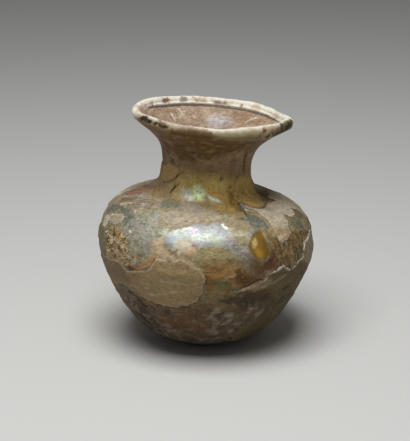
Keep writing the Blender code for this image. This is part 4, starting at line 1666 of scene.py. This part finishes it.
def make_wall():
    """The jar's wall, with its skin's layers as attributes."""
    skin = Skin()
    mesh = raised_mesh(skin.relief)
    for name, tint in (("film_tint", skin.film_tint), ("crust_tint", skin.crust_tint)):
        colours = np.column_stack((tint, np.ones(len(tint))))
        mesh.attributes.new(name, "FLOAT_COLOR", "POINT").data.foreach_set("color", colours.ravel())
    layers = {
        "crust_depth": np.clip(skin.crust, -REACH, REACH),
        "edge_light": skin.edge_light,
        "wear": skin.wear,
        "streaks": skin.streaks,
        "shine": skin.shine,
        "darkness": np.clip(skin.darkness, 0.0, 0.95),
        "crumbs": np.clip(skin.crumbs, 0.0, 1.0),
    }
    for name, values in layers.items():
        mesh.attributes.new(name, "FLOAT", "POINT").data.foreach_set("value", values)
    mesh.materials.append(weathered_glass())
    obj = bpy.data.objects.new("vase_wall", mesh)
    bpy.context.scene.collection.objects.link(obj)
    join_frame(obj)
    return obj


def strewn_places(tree, given):
    """Points on the wall, thickest where its crumbs value is 1, and how the crumb on each is turned."""
    surface = add(tree, "GeometryNodeObjectInfo", {"Object": given["Wall"]})
    crumbs = add(tree, "GeometryNodeInputNamedAttribute", {"Name": "crumbs"}, data_type="FLOAT")
    density = add(tree, "ShaderNodeMath", {0: given["Density"], 1: crumbs.outputs[0]}, operation="MULTIPLY")
    points = add(tree, "GeometryNodeDistributePointsOnFaces", {
        "Mesh": surface.outputs["Geometry"], "Density": density.outputs[0], "Seed": given["Seed"],
    })
    turn = add(tree, "FunctionNodeRandomValue", {
        0: (-CRUMB_TILT, -CRUMB_TILT, 0.0), 1: (CRUMB_TILT, CRUMB_TILT, 2.0 * math.pi), "Seed": given["Seed"],
    }, data_type="FLOAT_VECTOR")
    lie = add(tree, "FunctionNodeRotateRotation", {
        "Rotation": points.outputs["Rotation"], "Rotate By": turn.outputs[0],
    }, rotation_space="LOCAL")
    return points.outputs["Points"], lie.outputs[0]


def crumb_measures(tree, given):
    """Each crumb's length, width and thickness."""
    length, width = (
        add(tree, "FunctionNodeRandomValue", {
            2: given["Smallest"], 3: given["Largest"], "ID": add(tree, "GeometryNodeInputIndex").outputs[0],
            "Seed": seed,
        }, data_type="FLOAT").outputs[1]
        for seed in (LENGTH_SEED, WIDTH_SEED)
    )
    thickness = add(tree, "ShaderNodeMath", {0: width, 1: given["Flatness"]}, operation="MULTIPLY")
    return add(tree, "ShaderNodeCombineXYZ", {0: length, 1: width, 2: thickness.outputs[0]}).outputs[0]


def bent_crumb(tree):
    """One crumb of unit radius: a coarse ball bent out of round."""
    ball = add(tree, "GeometryNodeMeshIcoSphere", {"Radius": 1.0, "Subdivisions": 1})
    place = add(tree, "GeometryNodeInputPosition")
    bend = add(tree, "ShaderNodeTexNoise", {"Vector": place.outputs[0], "Scale": 1.3})
    bend = add(tree, "ShaderNodeVectorMath", {
        0: bend.outputs["Color"], 1: (0.5, 0.5, 0.5),
    }, operation="SUBTRACT")
    bend = add(tree, "ShaderNodeVectorMath", {0: bend.outputs[0], "Scale": CRUMB_BEND}, operation="SCALE")
    return add(tree, "GeometryNodeSetPosition", {
        "Geometry": ball.outputs["Mesh"], "Offset": bend.outputs[0],
    }).outputs[0]


def crumb_strewer():
    """A node tree that strews thin crumbs of crust over a wall."""
    tree = bpy.data.node_groups.new("strew_crumbs", "GeometryNodeTree")
    tree.interface.new_socket("Geometry", in_out="OUTPUT", socket_type="NodeSocketGeometry")
    for name, kind in (
        ("Wall", "Object"), ("Material", "Material"), ("Density", "Float"), ("Smallest", "Float"),
        ("Largest", "Float"), ("Flatness", "Float"), ("Seed", "Int"),
    ):
        tree.interface.new_socket(name, in_out="INPUT", socket_type="NodeSocket" + kind)
    given = add(tree, "NodeGroupInput").outputs
    points, lie = strewn_places(tree, given)
    strewn = add(tree, "GeometryNodeInstanceOnPoints", {
        "Points": points, "Instance": bent_crumb(tree), "Rotation": lie, "Scale": crumb_measures(tree, given),
    })
    solid = add(tree, "GeometryNodeRealizeInstances", {"Geometry": strewn.outputs[0]})
    dressed = add(tree, "GeometryNodeSetMaterial", {
        "Geometry": solid.outputs[0], "Material": given["Material"],
    })
    add(tree, "NodeGroupOutput", {0: dressed.outputs[0]})
    return tree


def make_crumbs(wall_object):
    """The strewn crumbs as a plain mesh."""
    tree = crumb_strewer()
    strewer = bpy.data.objects.new("strewer", bpy.data.meshes.new("strewer"))
    bpy.context.scene.collection.objects.link(strewer)
    modifier = strewer.modifiers.new("Strew", "NODES")
    modifier.node_group = tree
    sockets = {item.name: item.identifier for item in tree.interface.items_tree if item.in_out == "INPUT"}
    smallest, largest = CRUMB_SIZES
    settings = {
        "Wall": wall_object, "Material": loose_crust(), "Density": CRUMBS_PER_SQUARE_METRE,
        "Smallest": smallest * MM, "Largest": largest * MM, "Flatness": CRUMB_FLATNESS, "Seed": STREWING_SEED,
    }
    for name, value in settings.items():
        modifier[sockets[name]] = value
    evaluated = strewer.evaluated_get(bpy.context.evaluated_depsgraph_get())
    mesh = bpy.data.meshes.new_from_object(evaluated)
    mesh.name = "crust_crumbs"
    bpy.data.objects.remove(strewer)
    obj = bpy.data.objects.new("crust_crumbs", mesh)
    bpy.context.scene.collection.objects.link(obj)
    join_frame(obj)


# The studio.

def lay_paper():
    bpy.ops.mesh.primitive_plane_add(size=PAPER_SIDE * MM, location=(0.0, 0.0, 0.0))
    floor = bpy.context.object
    floor.name = "floor"
    paper = bpy.data.materials.new("pale_paper")
    paper.use_nodes = True
    shader = paper.node_tree.nodes["Principled BSDF"]
    shader.inputs["Base Color"].default_value = linear(PAPER)
    shader.inputs["Roughness"].default_value = PAPER_ROUGHNESS
    floor.data.materials.append(paper)


def light_room():
    world = bpy.data.worlds.new("studio")
    world.use_nodes = True
    background = world.node_tree.nodes["Background"]
    background.inputs["Color"].default_value = linear(ROOM)
    background.inputs["Strength"].default_value = ROOM_STRENGTH
    bpy.context.scene.world = world


def hang_softbox():
    light = bpy.data.lights.new("softbox", "AREA")
    light.shape = "RECTANGLE"
    light.size, light.size_y = (side * MM for side in SOFTBOX_SIDES)
    light.energy = SOFTBOX_WATTS
    lamp = bpy.data.objects.new("softbox", light)
    lamp.location = Vector(SOFTBOX_PLACE) * MM
    lamp.rotation_euler = (Vector(SOFTBOX_AIM) - Vector(SOFTBOX_PLACE)).to_track_quat("-Z", "Y").to_euler()
    bpy.context.scene.collection.objects.link(lamp)


bpy.context.scene.view_settings.view_transform = "Standard"
make_camera()
vase_wall = make_wall()
make_crumbs(vase_wall)
lay_paper()
light_room()
hang_softbox()
